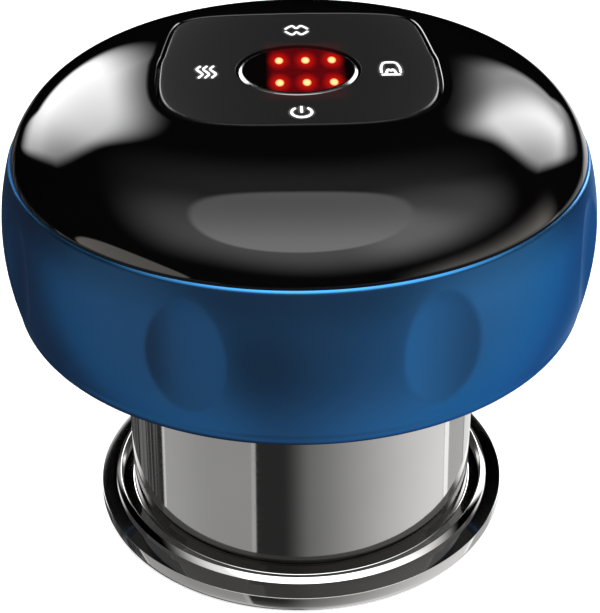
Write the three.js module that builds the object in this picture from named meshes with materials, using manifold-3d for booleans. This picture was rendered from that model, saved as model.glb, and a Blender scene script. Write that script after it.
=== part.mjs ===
// Electric cupping massager: a hand-held suction pump on a plated cup.
// Millimetres, +Z up. The origin is on the axis, at the plane that the cup's rim stands on.
// The front, with the power key, looks along -Y, and the charging socket is at the rear, +Y.
import * as THREE from 'three';
import { mergeVertices } from 'three/addons/utils/BufferGeometryUtils.js';
import Module from 'manifold-3d';

const wasm = await Module();
wasm.setup();

// Driving sizes of the outside
const shellRadius = 48.0;
const shellHeight = 26.6;
const shellBottom = 40.8;
const domeRise = 12.4;
const cupNeckRadius = 29.9;

// Clearances shared by all pieces
const joinGap = 0.3;
const slideGap = 0.1;
const threadGap = 0.15;
const cutOverrun = 1.0;
const mergeTolerance = 0.00001;

// Grip shell
const seamInset = 1.9;
const footInset = 1.4;
const shellCorner = 2.9;
const shellWideShare = 0.485;
const shellWall = 2.6;
const chamferDrop = 0.55;
const lipThickness = 2.0;
const lipWidth = 10.0;
const dimpleCount = 8;
const dimpleWidth = 12.1;
const dimpleLowMargin = 3.5;
const dimpleHighMargin = 2.05;
const dimpleHollow = 0.28;
const dimpleStandoff = 3.0;
const dimpleTurn = Math.PI / 150;

// Top cover
const coverWall = 2.2;
const domePlanShare = 6.4;
const domeRiseShare = 1.32;
const domeSpacingShare = 0.8;
const skirtDepth = 4.0;
const skirtWall = 1.8;
const recessFloorThickness = 1.5;
const postRadius = 3.0;

// Control panel
const panelHalfWidth = 21.85;
const panelHalfDepth = 22.1;
const panelOffsetY = 1.9;
const panelFrontShare = 3.5;
const panelRearShare = 9.0;
const panelTaperShare = 0.09;
const panelThickness = 1.35;
const panelRidge = 2.2;

// Display
const displayRadius = 9.75;
const lensThickness = 1.43;
const lensRecess = 0.12;
const lensLedge = 1.2;
const ledColumns = 3;
const ledRows = 2;
const ledColumnPitch = 4.15;
const ledRowPitch = 8.6;
const ledCentreX = 0.9;
const ledLength = 2.0;
const ledWidth = 1.25;
const ledHeight = 0.8;
const shroudHoleRadius = 1.5;
const shroudWall = 1.2;

// Keys and switches
const keyOffsetX = 14.3;
const keyOffsetY = 16.0;
const keyStemRadius = 2.3;
const keyFlangeRadius = 3.2;
const keyFlangeThickness = 0.8;
const keyTravel = 0.3;
const switchSide = 5.2;
const switchHeight = 2.0;

// Main board
const boardRadius = 27.0;
const boardThickness = 1.6;
const boardScrewOffset = 16.4;
const boardBossRadius = 2.4;
const boardScrewRadius = 0.9;
const boardScrewLength = 4.6;
const boardScrewHeadRadius = 1.9;
const boardScrewHeadHeight = 1.1;

// Base cover and the spigot for the cup
const baseThickness = 2.0;
const spigotGap = 0.6;
const spigotWall = 2.4;
const spigotDepth = 9.2;
const windowShoulder = 1.5;
const windowThickness = 2.0;
const windowLedge = 2.8;
const windowLedgeThickness = 1.0;
const sealSection = 2.2;
const sealDrop = 5.4;

// Base screws
const baseScrewInset = 3.9;
const baseScrewAngle = Math.PI / 3;
const baseScrewRadius = 1.25;
const baseScrewLength = 13.0;
const baseScrewHeadRadius = 2.4;
const baseScrewHeadHeight = 1.2;
const driveLength = 2.9;
const driveWidth = 0.6;
const driveDepth = 0.6;

// Cup
const cupWall = 2.3;
const flangeReach = 5.9;
const cupShoulderGap = 0.3;
const rimHeight = 3.3;
const rimWidth = 2.6;
const rimRound = 1.5;
const rimCorner = 0.28;
const stepRise = 0.8;
const stepDraft = 0.1;
const ridgeRise = 0.87;
const ridgeWidth = 0.95;
const rimGrooveDepth = 1.75;
const rimGrooveDraft = 0.2;
const neckFootRound = 0.3;
const mouthInset = 5.6;
const mouthRound = 1.3;
const cupFlareHeight = 7.0;

// Light, heater and air port in the ceiling of the cup
const lightBoardThickness = 1.2;
const redLedCount = 4;
const redLedSide = 3.0;
const redLedHeight = 1.4;
const redLedPlaceShare = 0.602;
const heaterWidth = 9.1;
const heaterThickness = 0.5;
const portStemRadius = 2.7;
const portFlangeRadius = 6.0;
const portFlangeThickness = 1.5;
const filterThickness = 0.7;
const filterRim = 1.6;
const portReach = 2.5;

// Inner frame
const frameInset = 1.9;
const frameThickness = 1.5;
const framePortHole = 7.0;
const saddleThickness = 2.4;
const saddleRimShare = 0.55;

// Battery cell, lying along X
const cellWallGap = 3.9;
const cellPostGap = 5.4;
const cellValveGap = 3.6;
const cellHeadroom = 4.25;
const cellLift = 1.2;
const cellCapRadius = 3.4;
const cellCapHeight = 1.0;

// Vacuum pump, lying along X
const pumpPostGap = 4.6;
const pumpValveGap = 0.8;
const pumpHeadroom = 0.65;
const pumpLift = 1.2;
const motorLength = 27.0;
const pumpHeadLength = 14.0;
const pumpEndX = -22.0;
const pumpHeadWall = 2.0;
const shaftRadius = 1.0;
const shaftReach = 5.0;
const shaftEngagement = 20.0;
const shaftEndPlay = 0.3;
const crankRadius = 3.6;
const crankOffset = 1.2;
const crankThickness = 3.0;
const crankStandoff = 1.2;
const diaphragmThickness = 0.8;
const diaphragmRim = 1.0;
const pumpBarbOffset = 5.2;

// Air line
const tubeBoreRadius = 1.4;
const tubeWall = 1.0;
const barbRadius = 1.1;
const airwayRadius = 0.55;
const barbLength = 4.0;
const teeRadius = 2.2;
const teeHalfLength = 4.0;
const teeRise = 9.1;
const tubeBendReach = 8.0;
const tubeSteps = 14;

// Release valve, lying along X
const valveLength = 13.0;
const valveWidth = 7.6;
const valveHeight = 8.0;
const valveStartX = 14.5;
const valveBoreRadius = 2.3;
const valveBoreDepth = 9.0;
const valveStroke = 1.0;
const plungerLength = 8.8;
const plungerButtonRadius = 1.2;
const plungerButtonLength = 2.2;

// Charging socket at the rear
const socketWidth = 8.9;
const socketHeight = 3.2;
const socketLength = 7.4;
const socketWall = 0.3;
const socketInset = 1.1;
const tongueWidth = 6.7;
const tongueThickness = 0.7;
const tongueLength = 5.2;
const socketBackWall = 0.8;
const chargeBoardWidth = 15.0;
const chargeBoardLength = 11.0;
const chargeBoardThickness = 1.2;

// Smoothness of round surfaces
const largeSegments = 48;
const mediumSegments = 24;
const smallSegments = 12;
const domeSteps = 10;
const sideSteps = 6;
const innerSteps = 3;
const roundSteps = 2;
const cornerSteps = 3;
const panelSegments = 36;
const dimpleSegments = 16;

// Radii of the shell and what it holds, worked out from the sizes above
const seamRadius = shellRadius - seamInset;
const shellFootRadius = shellRadius - footInset;
const shellInnerRadius = shellRadius - shellWall;
const shellEndInnerRadius = seamRadius - shellWall;
const lipInnerRadius = shellFootRadius - lipWidth;
const baseRadius = shellFootRadius - shellCorner - joinGap;
const frameRadius = shellEndInnerRadius - frameInset;
const domeRadius = seamRadius - chamferDrop;
const baseScrewCircle = baseRadius - baseScrewInset;
const baseScrewX = baseScrewCircle * Math.cos(baseScrewAngle);
const baseScrewY = baseScrewCircle * Math.sin(baseScrewAngle);

// Radii of the cup and what fits in it
const flangeRadius = cupNeckRadius + flangeReach;
const mouthRadius = flangeRadius - mouthInset;
const cupBoreRadius = cupNeckRadius - cupWall;
const spigotRadius = cupBoreRadius - spigotGap;
const wellRadius = spigotRadius - spigotWall;
const windowRadius = wellRadius - windowShoulder;
const heaterInnerRadius = windowRadius - heaterWidth;
const redLedCircle = portStemRadius + (heaterInnerRadius - portStemRadius) * redLedPlaceShare;

// Heights of the stacked pieces
const seamHeight = shellBottom + shellHeight;
const domeBase = seamHeight + joinGap;
const totalHeight = domeBase + domeRise;
const panelUnderside = totalHeight - panelThickness;
const recessFloor = panelUnderside - joinGap;
const coverUnderside = recessFloor - recessFloorThickness;
const keyTop = panelUnderside - slideGap;
const keyFlangeTop = coverUnderside - slideGap;
const keyBottom = keyFlangeTop - keyFlangeThickness;
const switchTop = keyBottom - keyTravel - slideGap;
const boardTop = switchTop - switchHeight - slideGap;
const boardBottom = boardTop - boardThickness;
const baseTop = shellBottom + baseThickness;
const lipBottom = baseTop + joinGap;
const lipTop = lipBottom + lipThickness;
const frameBottom = lipTop + joinGap;
const frameTop = frameBottom + frameThickness;
const postBottom = frameTop + joinGap;
const spigotBottom = shellBottom - spigotDepth;
const ledgeTop = spigotBottom + windowLedgeThickness;
const windowBottom = ledgeTop + joinGap;
const windowTop = windowBottom + windowThickness;
const sealHeight = shellBottom - sealDrop;
const heaterBottom = windowTop + joinGap;
const redLedBottom = heaterBottom + joinGap;
const lightBoardBottom = redLedBottom + redLedHeight + slideGap;
const cupTop = shellBottom - cupShoulderGap;
const sideBottom = shellBottom + shellCorner;
const sideTop = seamHeight - chamferDrop;
const dimpleBottom = sideBottom + dimpleLowMargin;
const dimpleTop = sideTop - dimpleHighMargin;
const portTop = frameTop + portReach;
const teeHeight = frameTop + teeRise;
const tubeRadius = tubeBoreRadius + tubeWall;

// The valve lies in the middle, with the cell in front of it and the pump behind it. Both are
// as thick as the depth up to the screw posts and the height up to the board's screws allow.
const depthToPosts = baseScrewY - postRadius - valveWidth / 2;
const heightToScrews = boardBottom - slideGap - boardScrewHeadHeight - frameTop;
const pumpDepth = depthToPosts - pumpPostGap - pumpValveGap;
const pumpRadius = Math.min(pumpDepth, heightToScrews - pumpLift - pumpHeadroom) / 2;
const pumpOffsetY = valveWidth / 2 + pumpValveGap + pumpRadius;
const pumpHeight = frameTop + pumpLift + pumpRadius;
const cellDepth = depthToPosts - cellPostGap - cellValveGap;
const cellRadius = Math.min(cellDepth, heightToScrews - cellLift - cellHeadroom) / 2;
const cellOffsetY = -(valveWidth / 2 + cellValveGap + cellRadius);
const cellHeight = frameTop + cellLift + cellRadius;
const cellLength = 2 * Math.sqrt((shellInnerRadius - cellWallGap) ** 2 - (cellOffsetY - cellRadius) ** 2);

// Solid helpers
function toSolid(geometry) {
  const bare = geometry.clone();
  bare.deleteAttribute('normal');
  bare.deleteAttribute('uv');
  const merged = mergeVertices(bare, mergeTolerance);
  const index = merged.index.array;
  const kept = [];
  for (let i = 0; i < index.length; i += 3) {
    const [a, b, c] = [index[i], index[i + 1], index[i + 2]];
    if (a !== b && b !== c && c !== a) kept.push(a, b, c);
  }
  const mesh = new wasm.Mesh({
    numProp: 3,
    vertProperties: new Float32Array(merged.attributes.position.array),
    triVerts: new Uint32Array(kept),
  });
  mesh.merge();
  return new wasm.Manifold(mesh);
}

function toGeometry(solid) {
  const mesh = solid.getMesh();
  const geometry = new THREE.BufferGeometry();
  const positions = new Float32Array(mesh.vertProperties);
  geometry.setAttribute('position', new THREE.BufferAttribute(positions, 3));
  geometry.setIndex(new THREE.BufferAttribute(new Uint32Array(mesh.triVerts), 1));
  return geometry;
}

function joined(solids) {
  return solids.reduce((sum, solid) => sum.add(solid));
}

function carved(body, cutters) {
  return cutters.reduce((rest, cutter) => rest.subtract(cutter), body);
}

// A turned solid about Z. The outline runs up its outer side, as [radius, height] points.
function turned(outline, segments = largeSegments) {
  const points = outline.map(([radius, height]) => new THREE.Vector2(radius, height));
  if (outline[0][0] > 0) points.push(points[0].clone());
  const geometry = new THREE.LatheGeometry(points, segments);
  geometry.rotateX(Math.PI / 2);
  return toSolid(geometry);
}

function arc(centreRadius, centreHeight, radius, startAngle, endAngle, steps = roundSteps) {
  const points = [];
  for (let i = 0; i <= steps; i += 1) {
    const angle = startAngle + ((endAngle - startAngle) * i) / steps;
    points.push([centreRadius + radius * Math.cos(angle), centreHeight + radius * Math.sin(angle)]);
  }
  return points;
}

function rod(radius, bottom, top, x = 0, y = 0, segments = smallSegments) {
  const geometry = new THREE.CylinderGeometry(radius, radius, top - bottom, segments);
  geometry.rotateX(Math.PI / 2);
  geometry.translate(x, y, (bottom + top) / 2);
  return toSolid(geometry);
}

// A round rod along X, between two values of x
function rodAlongX(radius, start, end, y, z, segments = smallSegments) {
  const geometry = new THREE.CylinderGeometry(radius, radius, end - start, segments);
  geometry.rotateZ(-Math.PI / 2);
  geometry.translate((start + end) / 2, y, z);
  return toSolid(geometry);
}

function box(low, high) {
  const geometry = new THREE.BoxGeometry(high[0] - low[0], high[1] - low[1], high[2] - low[2]);
  geometry.translate((low[0] + high[0]) / 2, (low[1] + high[1]) / 2, (low[2] + high[2]) / 2);
  return toSolid(geometry);
}

function extruded(shape, bottom, top) {
  const options = { depth: top - bottom, bevelEnabled: false };
  const geometry = new THREE.ExtrudeGeometry(shape, options);
  geometry.translate(0, 0, bottom);
  return toSolid(geometry);
}

// The panel's outline: a square with bulging sides, wide round corners at the front, and
// tighter ones at the rear, where it also tapers
function panelShape(halfWidth, halfDepth) {
  const shape = new THREE.Shape();
  for (let i = 0; i < panelSegments; i += 1) {
    const angle = (2 * Math.PI * i) / panelSegments;
    const share = Math.sin(angle) < 0 ? panelFrontShare : panelRearShare;
    const y = Math.sign(Math.sin(angle)) * Math.abs(Math.sin(angle)) ** (2 / share);
    const side = Math.sign(Math.cos(angle)) * Math.abs(Math.cos(angle)) ** (2 / share);
    const x = side * (1 - panelTaperShare * Math.max(y, 0));
    if (i === 0) shape.moveTo(halfWidth * x, panelOffsetY + halfDepth * y);
    else shape.lineTo(halfWidth * x, panelOffsetY + halfDepth * y);
  }
  return shape;
}

// Half curves of the dome, from the seam up to the axis, drawn in by a wall thickness
function domeOutline(wall, steps) {
  const points = [];
  for (let i = 0; i <= steps; i += 1) {
    const angle = (Math.PI / 2) * (i / steps) ** domeSpacingShare;
    const across = Math.cos(angle) ** (2 / domePlanShare);
    const rise = Math.sin(angle) ** (2 / domeRiseShare);
    points.push([(domeRadius - wall) * across, domeBase + (domeRise - wall) * rise]);
  }
  points[steps][0] = 0;
  return points;
}

// Side of the shell as a bow through its foot, its widest ring and its top
function shellSide(footRadius, footHeight, wideRadius, topRadius, topHeight, steps = sideSteps) {
  const wideHeight = sideBottom + (seamHeight - sideBottom) * shellWideShare;
  const wideShare = (wideHeight - footHeight) / (topHeight - footHeight);
  const wideChord = footRadius + (topRadius - footRadius) * wideShare;
  const bow = (wideRadius - wideChord) / (wideShare * (1 - wideShare));
  const points = [];
  for (let i = 0; i <= steps; i += 1) {
    const share = i / steps;
    const height = footHeight + (topHeight - footHeight) * share;
    const chord = footRadius + (topRadius - footRadius) * share;
    points.push([chord + bow * share * (1 - share), height]);
  }
  return points;
}

function onFourCorners(x, y) {
  return [[x, y], [-x, y], [-x, -y], [x, -y]];
}

// Top cover: the dome with its skirt, key and display openings, board bosses and screw posts
const keyPlaces = {
  power: [0, -keyOffsetY],
  heat: [-keyOffsetX, 0],
  suction: [keyOffsetX, 0],
  scrape: [0, keyOffsetY],
};

function domeSolid(wall, steps = innerSteps) {
  return turned([[0, domeBase], ...domeOutline(wall, steps)]);
}

function makeTopCover() {
  const skirtRadius = shellEndInnerRadius - joinGap;
  const skirt = turned([
    [skirtRadius - skirtWall, seamHeight - skirtDepth],
    [skirtRadius, seamHeight - skirtDepth],
    [skirtRadius, domeBase + skirtWall],
    [skirtRadius - skirtWall, domeBase + skirtWall],
  ]);
  const ceilingShape = panelShape(panelHalfWidth + panelRidge, panelHalfDepth + panelRidge);
  const ceiling = extruded(ceilingShape, coverUnderside, totalHeight);
  const hollow = domeSolid(coverWall).subtract(ceiling);
  const outer = domeSolid(0, domeSteps);
  const lowerEdge = rod(domeRadius - coverWall, domeBase - cutOverrun, domeBase, 0, 0, largeSegments);
  let cover = outer.subtract(hollow).add(skirt).subtract(lowerEdge);
  const bossTop = coverUnderside + recessFloorThickness / 2;
  for (const [x, y] of onFourCorners(boardScrewOffset, boardScrewOffset)) {
    cover = cover.add(rod(boardBossRadius, boardTop + slideGap, bossTop, x, y));
  }
  const belowDome = rod(domeRadius, postBottom - cutOverrun, domeBase, 0, 0, largeSegments);
  const postRoom = domeSolid(coverWall / 2).add(belowDome);
  const posts = onFourCorners(baseScrewX, baseScrewY)
    .map(([x, y]) => rod(postRadius, postBottom, totalHeight, x, y).intersect(postRoom));
  cover = joined([cover, ...posts]);
  const recessShape = panelShape(panelHalfWidth + joinGap, panelHalfDepth + joinGap);
  const recess = extruded(recessShape, recessFloor, totalHeight + cutOverrun);
  const lightHoleRadius = displayRadius - lensLedge;
  const lightHole = rod(lightHoleRadius, coverUnderside - cutOverrun, totalHeight, 0, 0, mediumSegments);
  const keyHoles = Object.values(keyPlaces)
    .map(([x, y]) => rod(keyStemRadius + slideGap, coverUnderside - cutOverrun, totalHeight, x, y));
  const boardPilots = onFourCorners(boardScrewOffset, boardScrewOffset)
    .map(([x, y]) => rod(boardScrewRadius + threadGap, boardBottom,
      boardBottom + boardScrewLength + slideGap, x, y));
  const basePilots = onFourCorners(baseScrewX, baseScrewY)
    .map(([x, y]) => rod(baseScrewRadius + threadGap, postBottom - cutOverrun,
      shellBottom + baseScrewLength + joinGap, x, y));
  return carved(cover, [recess, lightHole, ...keyHoles, ...boardPilots, ...basePilots]);
}

function makeControlPanel() {
  const outline = panelShape(panelHalfWidth, panelHalfDepth);
  const blank = extruded(outline, panelUnderside, totalHeight + cutOverrun);
  const hole = rod(displayRadius, recessFloor, totalHeight + cutOverrun, 0, 0, mediumSegments);
  return blank.intersect(domeSolid(0, domeSteps)).subtract(hole);
}

function makeDisplayLens() {
  const top = totalHeight - lensRecess;
  return rod(displayRadius - joinGap, top - lensThickness, top, 0, 0, mediumSegments);
}

function ledPlaces() {
  const places = [];
  for (let row = 0; row < ledRows; row += 1) {
    for (let column = 0; column < ledColumns; column += 1) {
      const x = ledCentreX + (column - (ledColumns - 1) / 2) * ledColumnPitch;
      const y = (row - (ledRows - 1) / 2) * ledRowPitch;
      places.push([x, y]);
    }
  }
  return places;
}

function makeLed(x, y) {
  const bottom = boardTop + slideGap;
  const [halfLength, halfWidth] = [ledLength / 2, ledWidth / 2];
  return box([x - halfLength, y - halfWidth, bottom], [x + halfLength, y + halfWidth, bottom + ledHeight]);
}

// Black spacer that keeps the light of each indicator to its own window
function makeLedShroud() {
  const halfX = ((ledColumns - 1) * ledColumnPitch) / 2 + shroudHoleRadius + shroudWall;
  const halfY = ((ledRows - 1) * ledRowPitch) / 2 + shroudHoleRadius + shroudWall;
  const block = box(
    [ledCentreX - halfX, -halfY, boardTop + slideGap],
    [ledCentreX + halfX, halfY, coverUnderside - slideGap]);
  const holes = ledPlaces().map(([x, y]) => rod(shroudHoleRadius, boardTop, coverUnderside, x, y));
  return carved(block, holes);
}

// Keys, their switches and the main board
function makeKey([x, y]) {
  const flange = rod(keyFlangeRadius, keyBottom, keyFlangeTop, x, y);
  return rod(keyStemRadius, keyBottom, keyTop, x, y).add(flange);
}

function makeSwitch([x, y]) {
  const half = switchSide / 2;
  return box([x - half, y - half, boardTop + slideGap], [x + half, y + half, switchTop]);
}

function makeMainBoard() {
  const disc = rod(boardRadius, boardBottom, boardTop, 0, 0, mediumSegments);
  const [low, high] = [boardBottom - cutOverrun, boardTop + cutOverrun];
  const holes = onFourCorners(boardScrewOffset, boardScrewOffset)
    .map(([x, y]) => rod(boardScrewRadius + threadGap, low, high, x, y));
  return carved(disc, holes);
}

function makeBoardScrew([x, y]) {
  const headTop = boardBottom - slideGap;
  const shank = rod(boardScrewRadius, headTop, boardBottom + boardScrewLength, x, y);
  const head = rod(boardScrewHeadRadius, headTop - boardScrewHeadHeight, headTop, x, y);
  return shank.add(head);
}

// Grip shell: the blue ring with its dimples, its bottom lip and the socket opening
function shellRadiusAt(height) {
  const side = shellSide(shellFootRadius, sideBottom, shellRadius, seamRadius, seamHeight);
  const upper = side.findIndex((point) => point[1] >= height);
  const [below, above] = [side[upper - 1], side[upper]];
  const share = (height - below[1]) / (above[1] - below[1]);
  return below[0] + (above[0] - below[0]) * share;
}

function makeDimpleCutter(index) {
  const centreHeight = (dimpleBottom + dimpleTop) / 2;
  const surface = shellRadiusAt(centreHeight);
  const endDrop = surface - (shellRadiusAt(dimpleTop) + shellRadiusAt(dimpleBottom)) / 2;
  const sideDrop = surface - Math.sqrt(surface ** 2 - (dimpleWidth / 2) ** 2);
  const reach = dimpleStandoff + Math.max(endDrop, sideDrop) + dimpleHollow;
  const halfWidth = dimpleWidth / 2 / Math.sqrt(1 - ((dimpleStandoff + sideDrop) / reach) ** 2);
  const dimpleHeight = dimpleTop - dimpleBottom;
  const halfHeight = dimpleHeight / 2 / Math.sqrt(1 - ((dimpleStandoff + endDrop) / reach) ** 2);
  const geometry = new THREE.SphereGeometry(1, dimpleSegments, smallSegments);
  geometry.rotateX(Math.PI / 2);
  geometry.rotateY(Math.PI / 2);
  geometry.scale(reach, halfWidth, halfHeight);
  geometry.translate(surface + dimpleStandoff, 0, centreHeight);
  geometry.rotateZ((2 * Math.PI * (index + 0.5)) / dimpleCount + dimpleTurn);
  return toSolid(geometry);
}

function makeGripShell() {
  const inside = shellSide(
    shellEndInnerRadius, lipTop, shellInnerRadius, shellEndInnerRadius, seamHeight, innerSteps);
  const ring = turned([
    ...arc(shellFootRadius - shellCorner, sideBottom, shellCorner, -Math.PI / 2, 0, cornerSteps),
    ...shellSide(shellFootRadius, sideBottom, shellRadius, seamRadius, sideTop).slice(1),
    [seamRadius - chamferDrop, seamHeight],
    ...inside.reverse(),
    [lipInnerRadius, lipTop],
    [lipInnerRadius, lipBottom],
    [baseRadius + joinGap, lipBottom],
  ]);
  const dimples = [];
  for (let index = 0; index < dimpleCount; index += 1) dimples.push(makeDimpleCutter(index));
  const screwHoles = onFourCorners(baseScrewX, baseScrewY)
    .map(([x, y]) => rod(baseScrewRadius + threadGap, lipBottom - cutOverrun, lipTop + cutOverrun, x, y));
  return carved(ring, [...dimples, ...screwHoles, socketOutline(joinGap, shellRadius)]);
}

// Base cover: the bottom plate with the spigot for the cup
function makeBaseCover() {
  const grooveRadius = cupBoreRadius - sealSection - 2 * slideGap;
  const grooveHalf = sealSection / 2 + slideGap;
  const boardSeat = lightBoardBottom - slideGap;
  const body = turned([
    [windowRadius - windowLedge, spigotBottom],
    [spigotRadius, spigotBottom],
    [spigotRadius, sealHeight - grooveHalf],
    [grooveRadius, sealHeight - grooveHalf],
    [grooveRadius, sealHeight + grooveHalf],
    [spigotRadius, sealHeight + grooveHalf],
    [spigotRadius, shellBottom],
    [baseRadius, shellBottom],
    [baseRadius, baseTop],
    [wellRadius, baseTop],
    [wellRadius, boardSeat],
    [windowRadius + joinGap, boardSeat],
    [windowRadius + joinGap, ledgeTop],
    [windowRadius - windowLedge, ledgeTop],
  ]);
  const cuts = [];
  for (const [x, y] of onFourCorners(baseScrewX, baseScrewY)) {
    cuts.push(rod(baseScrewRadius + threadGap, shellBottom - cutOverrun, baseTop + cutOverrun, x, y));
    cuts.push(rod(baseScrewHeadRadius + joinGap, shellBottom - cutOverrun,
      shellBottom + baseScrewHeadHeight + slideGap, x, y));
  }
  return carved(body, cuts);
}

function makeBaseScrew([x, y]) {
  const headTop = shellBottom + baseScrewHeadHeight;
  const head = rod(baseScrewHeadRadius, shellBottom, headTop, x, y);
  const slotHalf = driveWidth / 2;
  const crossHalf = driveLength / 2;
  const bottom = shellBottom - cutOverrun;
  const slotTop = shellBottom + driveDepth;
  const slots = [
    box([x - crossHalf, y - slotHalf, bottom], [x + crossHalf, y + slotHalf, slotTop]),
    box([x - slotHalf, y - crossHalf, bottom], [x + slotHalf, y + crossHalf, slotTop]),
  ];
  const shank = rod(baseScrewRadius, headTop - slideGap, shellBottom + baseScrewLength, x, y);
  return carved(head.add(shank), slots);
}

function makeCupSeal() {
  const outerRadius = cupBoreRadius - slideGap;
  const centreRadius = outerRadius - sealSection / 2;
  const section = arc(centreRadius, sealHeight, sealSection / 2, 0, 2 * Math.PI, smallSegments / 2);
  return turned(section.slice(0, -1));
}

// Cup: an open tube with a flat-topped rim, a sloping ridge and a groove inside it, and a
// rounded mouth
function makeCup() {
  const stepRadius = flangeRadius - rimWidth - stepDraft;
  const ridgeRadius = stepRadius - ridgeWidth;
  const ridgeHeight = rimHeight + stepRise + ridgeRise;
  const grooveHeight = ridgeHeight - rimGrooveDepth;
  const outer = [
    ...arc(flangeRadius - rimRound, rimRound, rimRound, -Math.PI / 2, 0, cornerSteps),
    ...arc(flangeRadius - rimCorner, rimHeight - rimCorner, rimCorner, 0, Math.PI / 2),
    [stepRadius + stepDraft, rimHeight],
    [stepRadius, rimHeight + stepRise],
    [ridgeRadius, ridgeHeight],
    [ridgeRadius - rimGrooveDraft, grooveHeight],
    [cupNeckRadius + neckFootRound, grooveHeight],
    [cupNeckRadius, grooveHeight + neckFootRound],
    [cupNeckRadius, cupTop],
  ];
  const inner = [
    [cupBoreRadius, cupTop],
    [cupBoreRadius, cupFlareHeight],
    ...arc(mouthRadius, mouthRound, mouthRound, Math.PI, Math.PI * 1.5),
  ];
  return turned([...outer, ...inner]);
}

// Ceiling of the cup: window, heater, red lights and air port
function makeLightWindow() {
  const disc = rod(windowRadius, windowBottom, windowTop, 0, 0, mediumSegments);
  return disc.subtract(rod(portStemRadius + joinGap, windowBottom - cutOverrun, windowTop + cutOverrun));
}

function makeHeaterRing() {
  const heaterTop = heaterBottom + heaterThickness;
  const disc = rod(windowRadius - joinGap, heaterBottom, heaterTop, 0, 0, mediumSegments);
  return disc.subtract(rod(heaterInnerRadius, windowBottom, lightBoardBottom, 0, 0, mediumSegments));
}

function makeLightBoard() {
  const top = lightBoardBottom + lightBoardThickness;
  const disc = rod(wellRadius - joinGap, lightBoardBottom, top, 0, 0, mediumSegments);
  return disc.subtract(rod(portStemRadius + joinGap, windowBottom, top + cutOverrun));
}

function makeRedLed(index) {
  const angle = (2 * Math.PI * (index + 0.5)) / redLedCount;
  const [x, y] = [redLedCircle * Math.cos(angle), redLedCircle * Math.sin(angle)];
  const half = redLedSide / 2;
  return box([x - half, y - half, redLedBottom], [x + half, y + half, redLedBottom + redLedHeight]);
}

function makePortNipple() {
  const flangeTop = windowBottom - slideGap;
  const flangeBottom = flangeTop - portFlangeThickness;
  const seat = flangeBottom + filterThickness + slideGap;
  const seatRadius = portFlangeRadius - filterRim;
  return turned([
    [seatRadius, flangeBottom],
    [portFlangeRadius, flangeBottom],
    [portFlangeRadius, flangeTop],
    [portStemRadius, flangeTop],
    [portStemRadius, frameTop - joinGap],
    [barbRadius, frameTop - joinGap],
    [barbRadius, portTop],
    [airwayRadius, portTop],
    [airwayRadius, seat],
    [seatRadius, seat],
  ], smallSegments);
}

function makeSuctionFilter() {
  const bottom = windowBottom - slideGap - portFlangeThickness;
  return rod(portFlangeRadius - filterRim - slideGap, bottom, bottom + filterThickness);
}

// Inner frame: the plate with its saddles
function saddle(x, y, axisHeight, radius) {
  const top = axisHeight - radius * (1 - saddleRimShare);
  const web = box(
    [x - saddleThickness / 2, y - radius, frameTop - frameThickness / 2],
    [x + saddleThickness / 2, y + radius, top]);
  return web.subtract(rodAlongX(
    radius + joinGap, x - saddleThickness, x + saddleThickness, y, axisHeight, mediumSegments));
}

function makeInnerFrame() {
  const plate = rod(frameRadius, frameBottom, frameTop, 0, 0, mediumSegments);
  const cellSeatX = cellLength / 2 - saddleThickness * 3;
  const pumpLow = pumpEndX + saddleThickness * 2;
  const pumpHigh = pumpEndX + pumpHeadLength + motorLength - saddleThickness * 2;
  const plinth = box(
    [valveStartX, -valveWidth / 2, frameTop - frameThickness / 2],
    [valveStartX + valveLength, valveWidth / 2, teeHeight - valveHeight / 2 - joinGap]);
  const body = joined([
    plate,
    saddle(-cellSeatX, cellOffsetY, cellHeight, cellRadius),
    saddle(cellSeatX, cellOffsetY, cellHeight, cellRadius),
    saddle(pumpLow, pumpOffsetY, pumpHeight, pumpRadius),
    saddle(pumpHigh, pumpOffsetY, pumpHeight, pumpRadius),
    plinth,
  ]);
  const [low, high] = [frameBottom - cutOverrun, frameTop + cutOverrun];
  const holes = onFourCorners(baseScrewX, baseScrewY)
    .map(([x, y]) => rod(baseScrewRadius + threadGap, low, high, x, y));
  holes.push(rod(framePortHole, low, high));
  return carved(body, holes);
}

// Battery cell with its raised cap
function makeBatteryCell() {
  const canEnd = cellLength / 2 - cellCapHeight;
  const can = rodAlongX(cellRadius, -cellLength / 2, canEnd, cellOffsetY, cellHeight, mediumSegments);
  return can.add(rodAlongX(cellCapRadius, 0, cellLength / 2, cellOffsetY, cellHeight));
}

// Vacuum pump: motor, shaft with its crank, head and diaphragm
const motorStart = pumpEndX + pumpHeadLength + joinGap;

function makePumpMotor() {
  const canEnd = motorStart + motorLength;
  const can = rodAlongX(pumpRadius, motorStart, canEnd, pumpOffsetY, pumpHeight, mediumSegments);
  const boreEnd = motorStart + shaftEngagement;
  const bore = rodAlongX(shaftRadius + slideGap, motorStart - cutOverrun, boreEnd, pumpOffsetY, pumpHeight);
  return can.subtract(bore);
}

function makePumpShaft() {
  const shaftEnd = motorStart + shaftEngagement - shaftEndPlay;
  const shaft = rodAlongX(shaftRadius, motorStart - shaftReach, shaftEnd, pumpOffsetY, pumpHeight);
  const crankEnd = motorStart - crankStandoff;
  const crankHeight = pumpHeight + crankOffset;
  const crank = rodAlongX(crankRadius, crankEnd - crankThickness, crankEnd, pumpOffsetY, crankHeight);
  return shaft.add(crank);
}

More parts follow.
